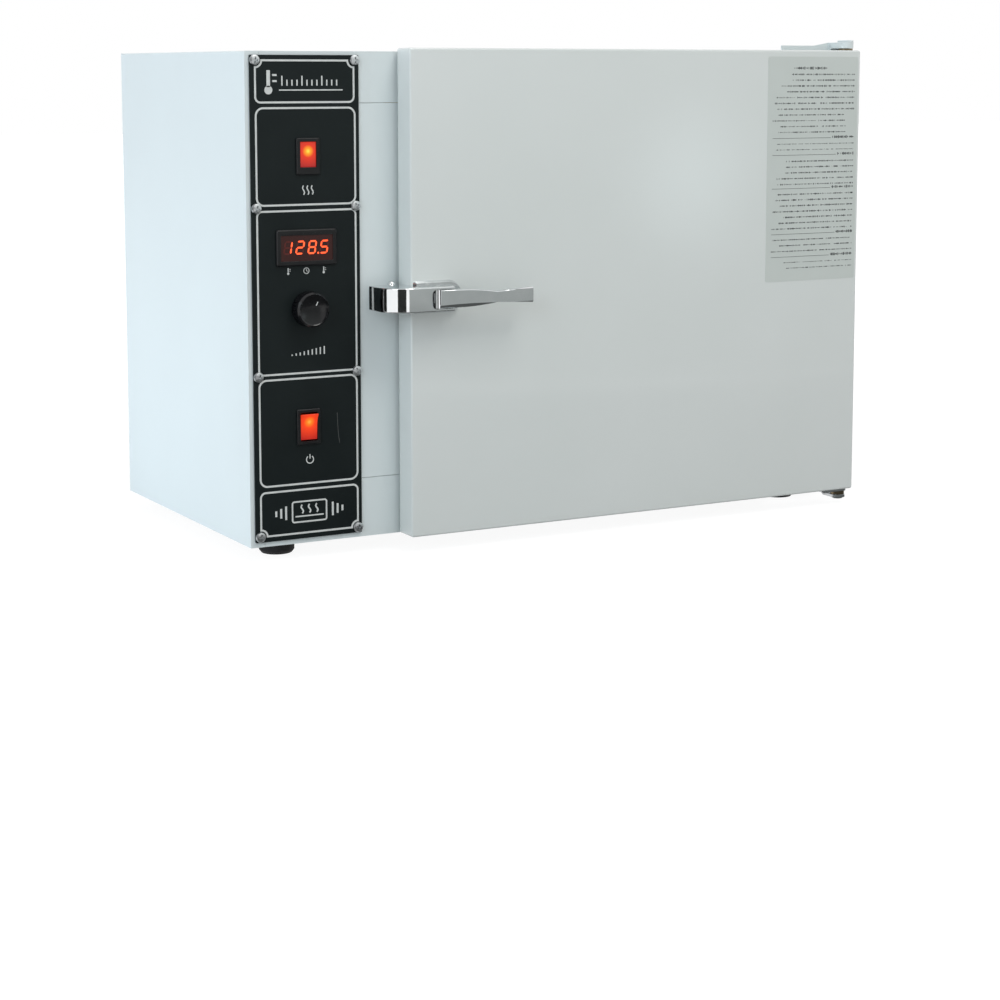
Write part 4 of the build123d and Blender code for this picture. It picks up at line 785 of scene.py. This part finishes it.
def heat_waves(bm, x, z, step, height, width, sway):
    """Three rising waves of heat, a step apart."""
    for offset in (-step, 0, step):
        points = [(x + offset + sway * math.sin(2 * math.pi * i / 16),
                   z + height * (i / 16 - 0.5)) for i in range(17)]
        panel_line(bm, points, width)


def thermometer(bm, x, z, size):
    """A small thermometer: bulb, tube and two marks."""
    plate(bm, circle_points(x, z - 0.32 * size, 0.18 * size), panel_face, ink)
    panel_bar(bm, x, z - 0.2 * size, z + 0.5 * size, 0.16 * size)
    for step in (0.05, 0.3):
        height = z + step * size
        panel_line(bm, [(x + 0.18 * size, height), (x + 0.38 * size, height)], 0.08 * size)


def clock(bm, x, z, size):
    """A small clock face with two hands."""
    panel_line(bm, circle_points(x, z, 0.42 * size), 0.1 * size, closed=True)
    panel_line(bm, [(x, z + 0.28 * size), (x, z), (x + 0.2 * size, z - 0.1 * size)],
               0.09 * size)


def draw_signs(bm):
    """Every sign on the panel, from the lamp's field down, and then the top field."""
    heat_waves(bm, 60.8, 332.4, 4.4, 8.4, 1.1, 0.9)
    display_row, small = 257.6, 6.4
    thermometer(bm, 40.0, display_row, small)
    clock(bm, 58.4, display_row, small)
    thermometer(bm, 76.0, display_row, small)
    for place in range(9):
        panel_bar(bm, 43.0 + place * 4.1, 178.6, 180.0 + place * 0.75, 1.2)
    power_x, power_line = 60.0, 0.95
    panel_line(bm, circle_points(power_x, 79.6, 3.6, 125, 290), power_line)
    panel_bar(bm, power_x, 80.4, 84.6, power_line)
    framed(bm, 41.5, 20.8, 76.5, 40.2, (2, 2, 2, 2), 1.5)
    panel_line(bm, [(44.5, 26.2), (73.5, 26.2)], 1.3)
    chamber_x = 59.0
    heat_waves(bm, chamber_x, 33.0, 7.5, 8.2, 1.5, 1.1)
    for side in (-1, 1):
        for place, half in enumerate((6.5, 4.6, 2.7)):
            panel_bar(bm, chamber_x + side * (24.0 + 5.0 * place), 30.5 - half, 30.5 + half, 2.0)
    panel_line(bm, [(33.0, 424.4), (97.0, 424.4)], 1.1)
    thermometer(bm, 22.5, 431.5, 22.0)
    scale_foot = 428.4
    for place in range(12):
        tall = 9.0 if place % 4 == 0 else 5.4
        panel_bar(bm, 36.0 + place * 5.0, scale_foot, scale_foot + tall, 1.3)


printed("panel_signs", draw_signs, "cabinet", finishes["white_print"])


def draw_scratch(bm):
    """A fine scratch beside the switch."""
    stroke(bm, [(88.5, 122.0), (88.9, 112.0), (89.6, 101.0), (90.8, 93.0)], 0.5, panel_face, 0.04)


printed("panel_scratch", draw_scratch, "cabinet", finishes["scratch_mark"])

knob_low, knob_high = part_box("control_knob")
knob_middle = ((knob_low + knob_high) / 2 - corner) / mm
# A short white line on the knob's face, up and to the right of its middle.
knob_line_angle = math.radians(64)


def draw_knob_line(bm):
    """The white line on the knob."""
    turn = Vector((math.cos(knob_line_angle), math.sin(knob_line_angle)))
    ends = [(knob_middle.x + turn.x * r, knob_middle.z + turn.y * r) for r in (4.6, 8.4)]
    stroke(bm, ends, 0.9, front_of("control_knob"), 0.05)


printed("knob_pointer", draw_knob_line, "knob", finishes["white_print"])
print("signs drawn")

# %% [markdown]
# Four seven-segment digits glow behind the window and lean a little to the right. Each
# segment is a six-sided bar. The unlit ones stay as dark ghosts, as on real displays.

# %% Digits
window_face = front_of("display_window")
digit_height = 12.8
digit_width = 6.7
digit_pitch = 12.2
digit_slant = 0.16
bar = 1.6
segment_gap = 0.25
glow_thick = 0.05
first_digit_x = 39.4
digit_middle_z = 279.5
segment_places = {
    "a": ((-1, 1), (1, 1)), "b": ((1, 1), (1, 0)), "c": ((1, 0), (1, -1)),
    "d": ((-1, -1), (1, -1)), "e": ((-1, 0), (-1, -1)), "f": ((-1, 1), (-1, 0)),
    "g": ((-1, 0), (1, 0))}
lit_segments = {"1": "bc", "2": "abged", "8": "abcdefg", "5": "afgcd"}
reading = "1285"


def segment_outline(name, middle_x):
    """Six corners of one bar, leaning with the digit."""
    half_x = digit_width / 2
    half_z = (digit_height - bar) / 2
    (ax, az), (bx, bz) = segment_places[name]
    start_point = Vector((ax * half_x, az * half_z))
    end_point = Vector((bx * half_x, bz * half_z))
    along = (end_point - start_point).normalized()
    start_point += along * segment_gap
    end_point -= along * segment_gap
    across = Vector((-along.y, along.x)) * bar / 2
    taper = along * bar / 2
    corners = [start_point, start_point + taper + across, end_point - taper + across,
               end_point, end_point - taper - across, start_point + taper - across]
    return [(middle_x + p.x + digit_slant * p.y, digit_middle_z + p.y) for p in corners]


def draw_digits(lit):
    """What draws the lit segments and the point, or the dark ones."""
    def build(bm):
        for place, figure in enumerate(reading):
            middle_x = first_digit_x + place * digit_pitch
            for name in segment_places:
                if (name in lit_segments[figure]) == lit:
                    plate(bm, segment_outline(name, middle_x), window_face, glow_thick)
        if lit:
            x = first_digit_x + 2 * digit_pitch + 6.0
            z = digit_middle_z - digit_height / 2 + 0.9
            plate(bm, circle_points(x, z, 0.95, steps=12), window_face, glow_thick)
    return build


printed("display_digits", draw_digits(True), "cabinet", finishes["lit_digit"])
printed("display_ghosts", draw_digits(False), "cabinet",
        finishes["ghost_digit"])
print("digits", reading)

# %% [markdown]
# The sheet on the door is a pale sticker. Rows of short dark dashes give the grey of small
# print. Rows and dashes repeat, so Geometry Nodes set them out: a grid of points, one dash
# on each, its length drawn from a fixed seed.

# %% Helpers for Geometry Nodes trees


def geometry_tree(name, inputs):
    """A tree with geometry in and out beside its named inputs (name, kind, value)."""
    return group_tree(name, "GeometryNodeTree", [("Geometry", GEOMETRY, None), *inputs],
                      [("Geometry", GEOMETRY)])


def close_tree(tree, geometry, material, smooth=False):
    """Makes the instances real, sets their material and gives them out."""
    geometry = put(tree, "GeometryNodeRealizeInstances", {0: geometry})
    if smooth:
        geometry = put(tree, "GeometryNodeSetShadeSmooth", {"Geometry": geometry})
    geometry = put(tree, "GeometryNodeSetMaterial", {"Geometry": geometry, "Material": material})
    put(tree, "NodeGroupOutput", {0: geometry})


def grown(name, tree, points, values):
    """An object whose points feed the tree; values go in by the sockets' identifiers."""
    mesh = bpy.data.meshes.new(name)
    mesh.from_pydata(points, [], [])
    ob = link_object(name, mesh)
    modifier = ob.modifiers.new(name, "NODES")
    modifier.node_group = tree
    for item in tree.interface.items_tree:
        if item.item_type == "SOCKET" and item.in_out == "INPUT" and item.name in values:
            modifier[item.identifier] = values[item.name]
    baked(ob)
    return ob


def settled(ob, body, node=None):
    """A grown object becomes a piece on a body, and may stand for a node."""
    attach(ob, body)
    if node:
        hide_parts(node)


# %% Rows of small print
rows_tree, start = geometry_tree("small_print_rows", [
    ("Width", FLOAT, 0.1), ("Height", FLOAT, 0.2), ("Columns", INT, 18), ("Rows", INT, 35),
    ("Row Fill", FLOAT, 0.3), ("Ragged", FLOAT, 0.2), ("Gaps", FLOAT, 0.15),
    ("Seed", INT, 4), ("Middle", VECTOR, None), ("Ink", MATERIAL, None)])
grid = put(rows_tree, "GeometryNodeMeshGrid", {
    "Size X": start["Width"], "Size Y": start["Height"],
    "Vertices X": start["Columns"], "Vertices Y": start["Rows"]})
pitch_x = number(rows_tree, "DIVIDE", start["Width"], start["Columns"])
pitch_y = number(rows_tree, "DIVIDE", start["Height"], start["Rows"])
dash = put(rows_tree, "GeometryNodeMeshGrid", {
    "Size X": pitch_x, "Size Y": number(rows_tree, "MULTIPLY", pitch_y, start["Row Fill"]),
    "Vertices X": 2, "Vertices Y": 2})
length = put(rows_tree, "FunctionNodeRandomValue", {
    0: (0.35, 0.45, 1.0), 1: (1.05, 1.55, 1.0), "Seed": start["Seed"]},
    data_type="FLOAT_VECTOR")
spot = put(rows_tree, "ShaderNodeSeparateXYZ",
           {0: put(rows_tree, "GeometryNodeInputPosition")}).outputs
row_number = number(rows_tree, "DIVIDE", spot["Y"], pitch_y)
row_number = number(rows_tree, "ROUND", row_number, 0.0)
across = number(rows_tree, "DIVIDE", spot["X"], start["Width"])
across = number(rows_tree, "ADD", across, 0.5)
row_start = put(rows_tree, "FunctionNodeRandomValue", {
    2: 0.0, 3: start["Ragged"], "ID": row_number, "Seed": start["Seed"]}, data_type="FLOAT")
before_row = number(rows_tree, "LESS_THAN", across, row_start.outputs[1])
word_gap = put(rows_tree, "FunctionNodeRandomValue", {
    6: start["Gaps"], "Seed": start["Seed"]}, data_type="BOOLEAN")
unprinted = number(rows_tree, "MAXIMUM", before_row, word_gap.outputs[3])
letters = put(rows_tree, "GeometryNodeDeleteGeometry", {
    "Geometry": grid, "Selection": unprinted})
dashes = put(rows_tree, "GeometryNodeInstanceOnPoints", {
    "Points": letters, "Instance": dash, "Scale": length})
upright = put(rows_tree, "GeometryNodeTransform", {
    "Geometry": dashes, "Translation": start["Middle"], "Rotation": (math.pi / 2, 0, 0)})
close_tree(rows_tree, upright, start["Ink"])
print("tree", rows_tree.name)

# %% The instruction sheet
sheet_left, sheet_right = 560.8, 675.0
sheet_low, sheet_high = 226.0, 456.6
sheet_thick = 0.15
sheet_ink = 0.04
print_face = door_face - sheet_thick - sheet_ink


def draw_sheet(bm):
    """The bare sheet."""
    plate(bm, frame_loop(sheet_left, sheet_low, sheet_right, sheet_high, (2, 2, 2, 2), 0),
          door_face, sheet_thick)


printed("instruction_sheet", draw_sheet, "door", finishes["label_sheet"])
row_step = 5.9
margin = 4.5
text_left = sheet_left + margin
text_right = sheet_right - margin
paragraphs = [(438.5, 7, 0.0, 0.30), (397.1, 4, 11.0, 0.12), (367.4, 2, 0.0, 0.45),
              (349.6, 5, 0.0, 0.20), (315.7, 7, 0.0, 0.16), (268.8, 3, 0.0, 0.30),
              (245.3, 2, 0.0, 0.30)]
headings = [374.1, 356.8, 322.4, 275.5, 252.0]


def small_print(name, left, right, top, rows, ragged, bold, seed):
    """Rows of letter-like dashes, even at the right and ragged at the left."""
    height = row_step * max(rows - 1, 1)
    middle_z = top - height / 2 if rows > 1 else top
    ob = grown(name, rows_tree, [(0, 0, 0)], {
        "Width": (right - left) * mm, "Height": height * mm,
        "Columns": max(int((right - left) / 1.15), 2), "Rows": rows,
        "Row Fill": 0.34 if bold else 0.23, "Ragged": ragged,
        "Gaps": 0.08 if bold else 0.17, "Seed": seed,
        "Middle": at((left + right) / 2, print_face, middle_z), "Ink": finishes["label_ink"]})
    settled(ob, "door")


for place, (top, rows, inset, ragged) in enumerate(paragraphs):
    small_print("small_print_%d" % place, text_left, text_right - inset, top, rows, ragged,
                False, 11 + place)
sheet_middle = (sheet_left + sheet_right) / 2
small_print("sheet_heading", sheet_middle - 24, sheet_middle + 18, 444.9, 1, 0.0, True, 31)
for place, z in enumerate(headings):
    small_print("small_heading_%d" % place, text_right - (20 if place % 2 else 27), text_right,
                z, 1, 0.0, True, 41 + place)


def draw_rules(bm):
    """The thin lines beside the small headings."""
    for place, z in enumerate(headings):
        end_x = text_right - (22 if place % 2 else 29)
        stroke(bm, [(text_left + 2, z - 0.8), (end_x, z - 0.8)], 0.4,
               door_face - sheet_thick, sheet_ink)


printed("instruction_rules", draw_rules, "door", finishes["label_ink"])
print("paragraphs", len(paragraphs))

# %% [markdown]
# Screws. One head is built from listed points: a low dome with a cross cut into it. Geometry
# Nodes put a copy at every screw's place and give each its own turn, because no two real
# screws stop at the same angle.

# %% One cross-head screw


def cross_head(name, radius, height, shank, length):
    """A pan head with a cross recess, its seat at the origin, its shank along -Z."""
    bm = bmesh.new()
    profile = [(shank, -length), (shank, 0.0), (radius, 0.0), (radius, height * 0.35),
               (radius * 0.90, height * 0.72), (radius * 0.62, height * 0.94),
               (0.0, height)]
    steps = 32
    rings = []
    for r, z in profile[:-1]:
        rings.append([bm.verts.new((r * math.cos(2 * math.pi * i / steps),
                                    r * math.sin(2 * math.pi * i / steps), z))
                      for i in range(steps)])
    top = bm.verts.new((0, 0, height))
    bm.faces.new(list(reversed(rings[0])))
    for low, high in zip(rings, rings[1:]):
        for i in range(steps):
            j = (i + 1) % steps
            bm.faces.new((low[i], low[j], high[j], high[i]))
    for i in range(steps):
        bm.faces.new((rings[-1][i], rings[-1][(i + 1) % steps], top))
    head = link_object(name, mesh_of(name, bm))
    cutter_bm = bmesh.new()
    arm, half = radius * 0.58, radius * 0.15
    recess_floor = height * 0.25
    for half_x, half_y in ((arm, half), (half, arm)):
        matrix = Matrix.Translation((0, 0, recess_floor + height)) @ Matrix.Diagonal(
            (2 * half_x, 2 * half_y, 2 * height, 1))
        bmesh.ops.create_cube(cutter_bm, size=1, matrix=matrix)
    cutter = link_object(name + "_cross", mesh_of(name + "_cross", cutter_bm))
    cut = head.modifiers.new("cross", "BOOLEAN")
    cut.operation = "DIFFERENCE"
    cut.solver = "EXACT"
    cut.use_self = True
    cut.object = cutter
    baked(head)
    sharp_edges(head.data, math.radians(38))
    bpy.data.objects.remove(cutter)
    return head


# %% A tree that sets screws
screw_tree, start = geometry_tree("set_of_screws", [
    ("Screw", "NodeSocketObject", None), ("Facing", VECTOR, None), ("Seed", INT, 1),
    ("Metal", MATERIAL, None)])
info = put(screw_tree, "GeometryNodeObjectInfo", {"Object": start["Screw"]})
facing_turn = put(screw_tree, "FunctionNodeEulerToRotation", {0: start["Facing"]})
spin = put(screw_tree, "FunctionNodeRandomValue", {
    2: 0.0, 3: math.pi / 2, "Seed": start["Seed"]}, data_type="FLOAT")
spin_turn = put(screw_tree, "FunctionNodeAxisAngleToRotation", {
    "Axis": (0, 0, 1), "Angle": spin.outputs[1]})
turn = put(screw_tree, "FunctionNodeRotateRotation", {0: facing_turn, 1: spin_turn},
           rotation_space="LOCAL")
setter = put(screw_tree, "GeometryNodeInstanceOnPoints", {
    "Points": start["Geometry"], "Instance": info.outputs["Geometry"], "Rotation": turn})
close_tree(screw_tree, setter, start["Metal"])
print("tree", screw_tree.name)

# %% [markdown]
# A screw's place is read from the construction model: each loose island of the screw
# node's mesh is one screw, and the middle of its box gives the axis.

# %% Where the screws are


def islands(node):
    """Boxes of the separate solids in a node's mesh, always in the same order."""
    bm = bmesh.new()
    bm.from_mesh(nodes[node].data)
    bmesh.ops.remove_doubles(bm, verts=bm.verts, dist=2e-6)
    left = set(bm.verts)
    boxes = []
    while left:
        todo = [left.pop()]
        low = todo[0].co.copy()
        high = todo[0].co.copy()
        while todo:
            vert = todo.pop()
            low = Vector(map(min, low, vert.co))
            high = Vector(map(max, high, vert.co))
            for edge in vert.link_edges:
                other = edge.other_vert(vert)
                if other in left:
                    left.remove(other)
                    todo.append(other)
        boxes.append((low, high))
    bm.free()
    return sorted(boxes, key=lambda box: [round(c, 4) for c in box[0]])


front_facing = (math.pi / 2, 0, 0)
back_facing = (-math.pi / 2, 0, 0)


def set_screws(name, node, body, head, facing, seat_at, seed):
    """Cross-head screws that stand for a screw node."""
    places = [seat_at(low, high) for low, high in islands(node)]
    places = [p for p in places if p is not None]
    ob = grown(name, screw_tree, places, {
        "Screw": head, "Facing": facing, "Seed": seed, "Metal": finishes["zinc"]})
    settled(ob, body, node)
    print(name, len(places))


def middle_at(axis, side, inset):
    """A seat finder: the box's middle, with one coordinate set in from its low or high face."""
    def seat(low, high):
        place = (low + high) / 2
        place[axis] = low[axis] + inset * mm if side < 0 else high[axis] - inset * mm
        return place
    return seat


screw_sizes = {
    "panel": (4.9, 2.55, 1.7, 7), "rear": (3.9, 2.0, 1.6, 3),
    "inner": (3.2, 1.66, 1.4, 5), "hinge": (4.0, 2.08, 1.9, 7)}
heads = {kind: cross_head(kind + "_screw_head", *[size * mm for size in sizes])
         for kind, sizes in screw_sizes.items()}
set_screws("panel_screws_fine", "panel_screws", "cabinet", heads["panel"], front_facing,
           middle_at(1, -1, 2.55), 3)
set_screws("rear_screws_fine", "rear_screws", "cabinet", heads["rear"], back_facing,
           middle_at(1, 1, 2.03), 5)
set_screws("door_panel_screws_fine", "door_panel_screws", "door", heads["inner"], back_facing,
           middle_at(1, 1, 1.66), 8)
hinge_head_height = 2.08
half_way_up = 0.3


def hinge_seat(side):
    """A seat finder for the top hinge's screws (side 1) or the bottom one's (side -1)."""
    find = middle_at(2, side, hinge_head_height)
    return lambda low, high: find(low, high) if (high.z - half_way_up) * side > 0 else None


set_screws("top_hinge_screws_fine", "hinge_screws", "cabinet", heads["hinge"], (0, 0, 0),
           hinge_seat(1), 13)
set_screws("bottom_hinge_screws_fine", "hinge_screws", "cabinet", heads["hinge"],
           (math.pi, 0, 0), hinge_seat(-1), 14)
for head in heads.values():
    bpy.data.objects.remove(head)

# %% [markdown]
# A wire shelf is a rim with rods across it. Its rule is simple, so one tree makes both
# shelves: a rounded rectangle swept with a thick wire, a row of thin rods over it and one
# rod below.

# %% Shelf tree
shelf_tree, start = geometry_tree("wire_shelf", [
    ("Width", FLOAT, 0.4), ("Depth", FLOAT, 0.2), ("Rods", INT, 24),
    ("Rim Wire", FLOAT, 0.0023), ("Rod Wire", FLOAT, 0.0015), ("Corner", FLOAT, 0.008),
    ("Middle", VECTOR, None), ("Metal", MATERIAL, None)])


def wire(curve, radius):
    """A round wire of the shelf along a curve."""
    ring = put(shelf_tree, "GeometryNodeCurvePrimitiveCircle", {
        "Resolution": 12, "Radius": radius})
    return put(shelf_tree, "GeometryNodeCurveToMesh", {
        "Curve": curve, "Profile Curve": ring, "Fill Caps": True})


def point(x=0.0, y=0.0, z=0.0):
    """A place on the shelf, from sockets or numbers."""
    return put(shelf_tree, "ShaderNodeCombineXYZ", {0: x, 1: y, 2: z})


def times(value, factor):
    """A socket's value times a factor."""
    return number(shelf_tree, "MULTIPLY", value, factor)


def straight(first, last):
    """A straight curve between two places."""
    return put(shelf_tree, "GeometryNodeCurvePrimitiveLine", {"Start": first, "End": last})


sunk = 0.0006
overhang = 0.001
rod_margin = 0.024
rim = put(shelf_tree, "GeometryNodeCurvePrimitiveQuadrilateral", {
    "Width": start["Width"], "Height": start["Depth"]})
turned = put(shelf_tree, "GeometryNodeFilletCurve", {
    "Count": 8, "Curve": rim, "Radius": start["Corner"]}, mode="POLY")
rod_end = number(shelf_tree, "ADD", times(start["Depth"], 0.5), overhang)
rod_start = times(rod_end, -1.0)
lift = number(shelf_tree, "ADD", start["Rim Wire"], start["Rod Wire"])
lift = number(shelf_tree, "SUBTRACT", lift, sunk)
rod_line = straight(point(y=rod_start, z=lift), point(y=rod_end, z=lift))
inner = number(shelf_tree, "SUBTRACT", start["Width"], rod_margin)
row = put(shelf_tree, "GeometryNodeMeshLine", {
    "Count": start["Rods"], "Start Location": point(x=times(inner, -0.5)),
    "Offset": point(x=times(inner, 0.5))}, mode="END_POINTS")
rods = put(shelf_tree, "GeometryNodeInstanceOnPoints", {
    "Points": row, "Instance": wire(rod_line, start["Rod Wire"])})
cross_line = straight(point(x=times(start["Width"], -0.5)), point(x=times(start["Width"], 0.5)))
together = put(shelf_tree, "GeometryNodeJoinGeometry")
for part in (wire(turned, start["Rim Wire"]), wire(cross_line, start["Rim Wire"]), rods):
    shelf_tree.links.new(part.outputs[0], together.inputs[0])
placed = put(shelf_tree, "GeometryNodeTransform", {
    "Geometry": together, "Translation": start["Middle"]})
close_tree(shelf_tree, placed, start["Metal"], smooth=True)
print("tree", shelf_tree.name)

# %% Both shelves
rim_wire = 2.3
rod_wire = 1.5
for node in ("wire_shelf_lower", "wire_shelf_upper"):
    low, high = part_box(node)
    middle = (low + high) / 2
    middle.z = low.z + rim_wire * mm
    ob = grown(node + "_fine", shelf_tree, [(0, 0, 0)], {
        "Width": high.x - low.x - 2 * rim_wire * mm,
        "Depth": high.y - low.y - 2 * rim_wire * mm,
        "Rods": 26, "Rim Wire": rim_wire * mm, "Rod Wire": rod_wire * mm,
        "Middle": middle, "Metal": finishes["shelf_chrome"]})
    settled(ob, "cabinet", node)
    print(node, "triangles", sum(len(p.vertices) - 2 for p in ob.data.polygons))

# %% [markdown]
# Last, the colour setting of the picture.

# %% Finish
bpy.context.scene.view_settings.view_transform = "Standard"
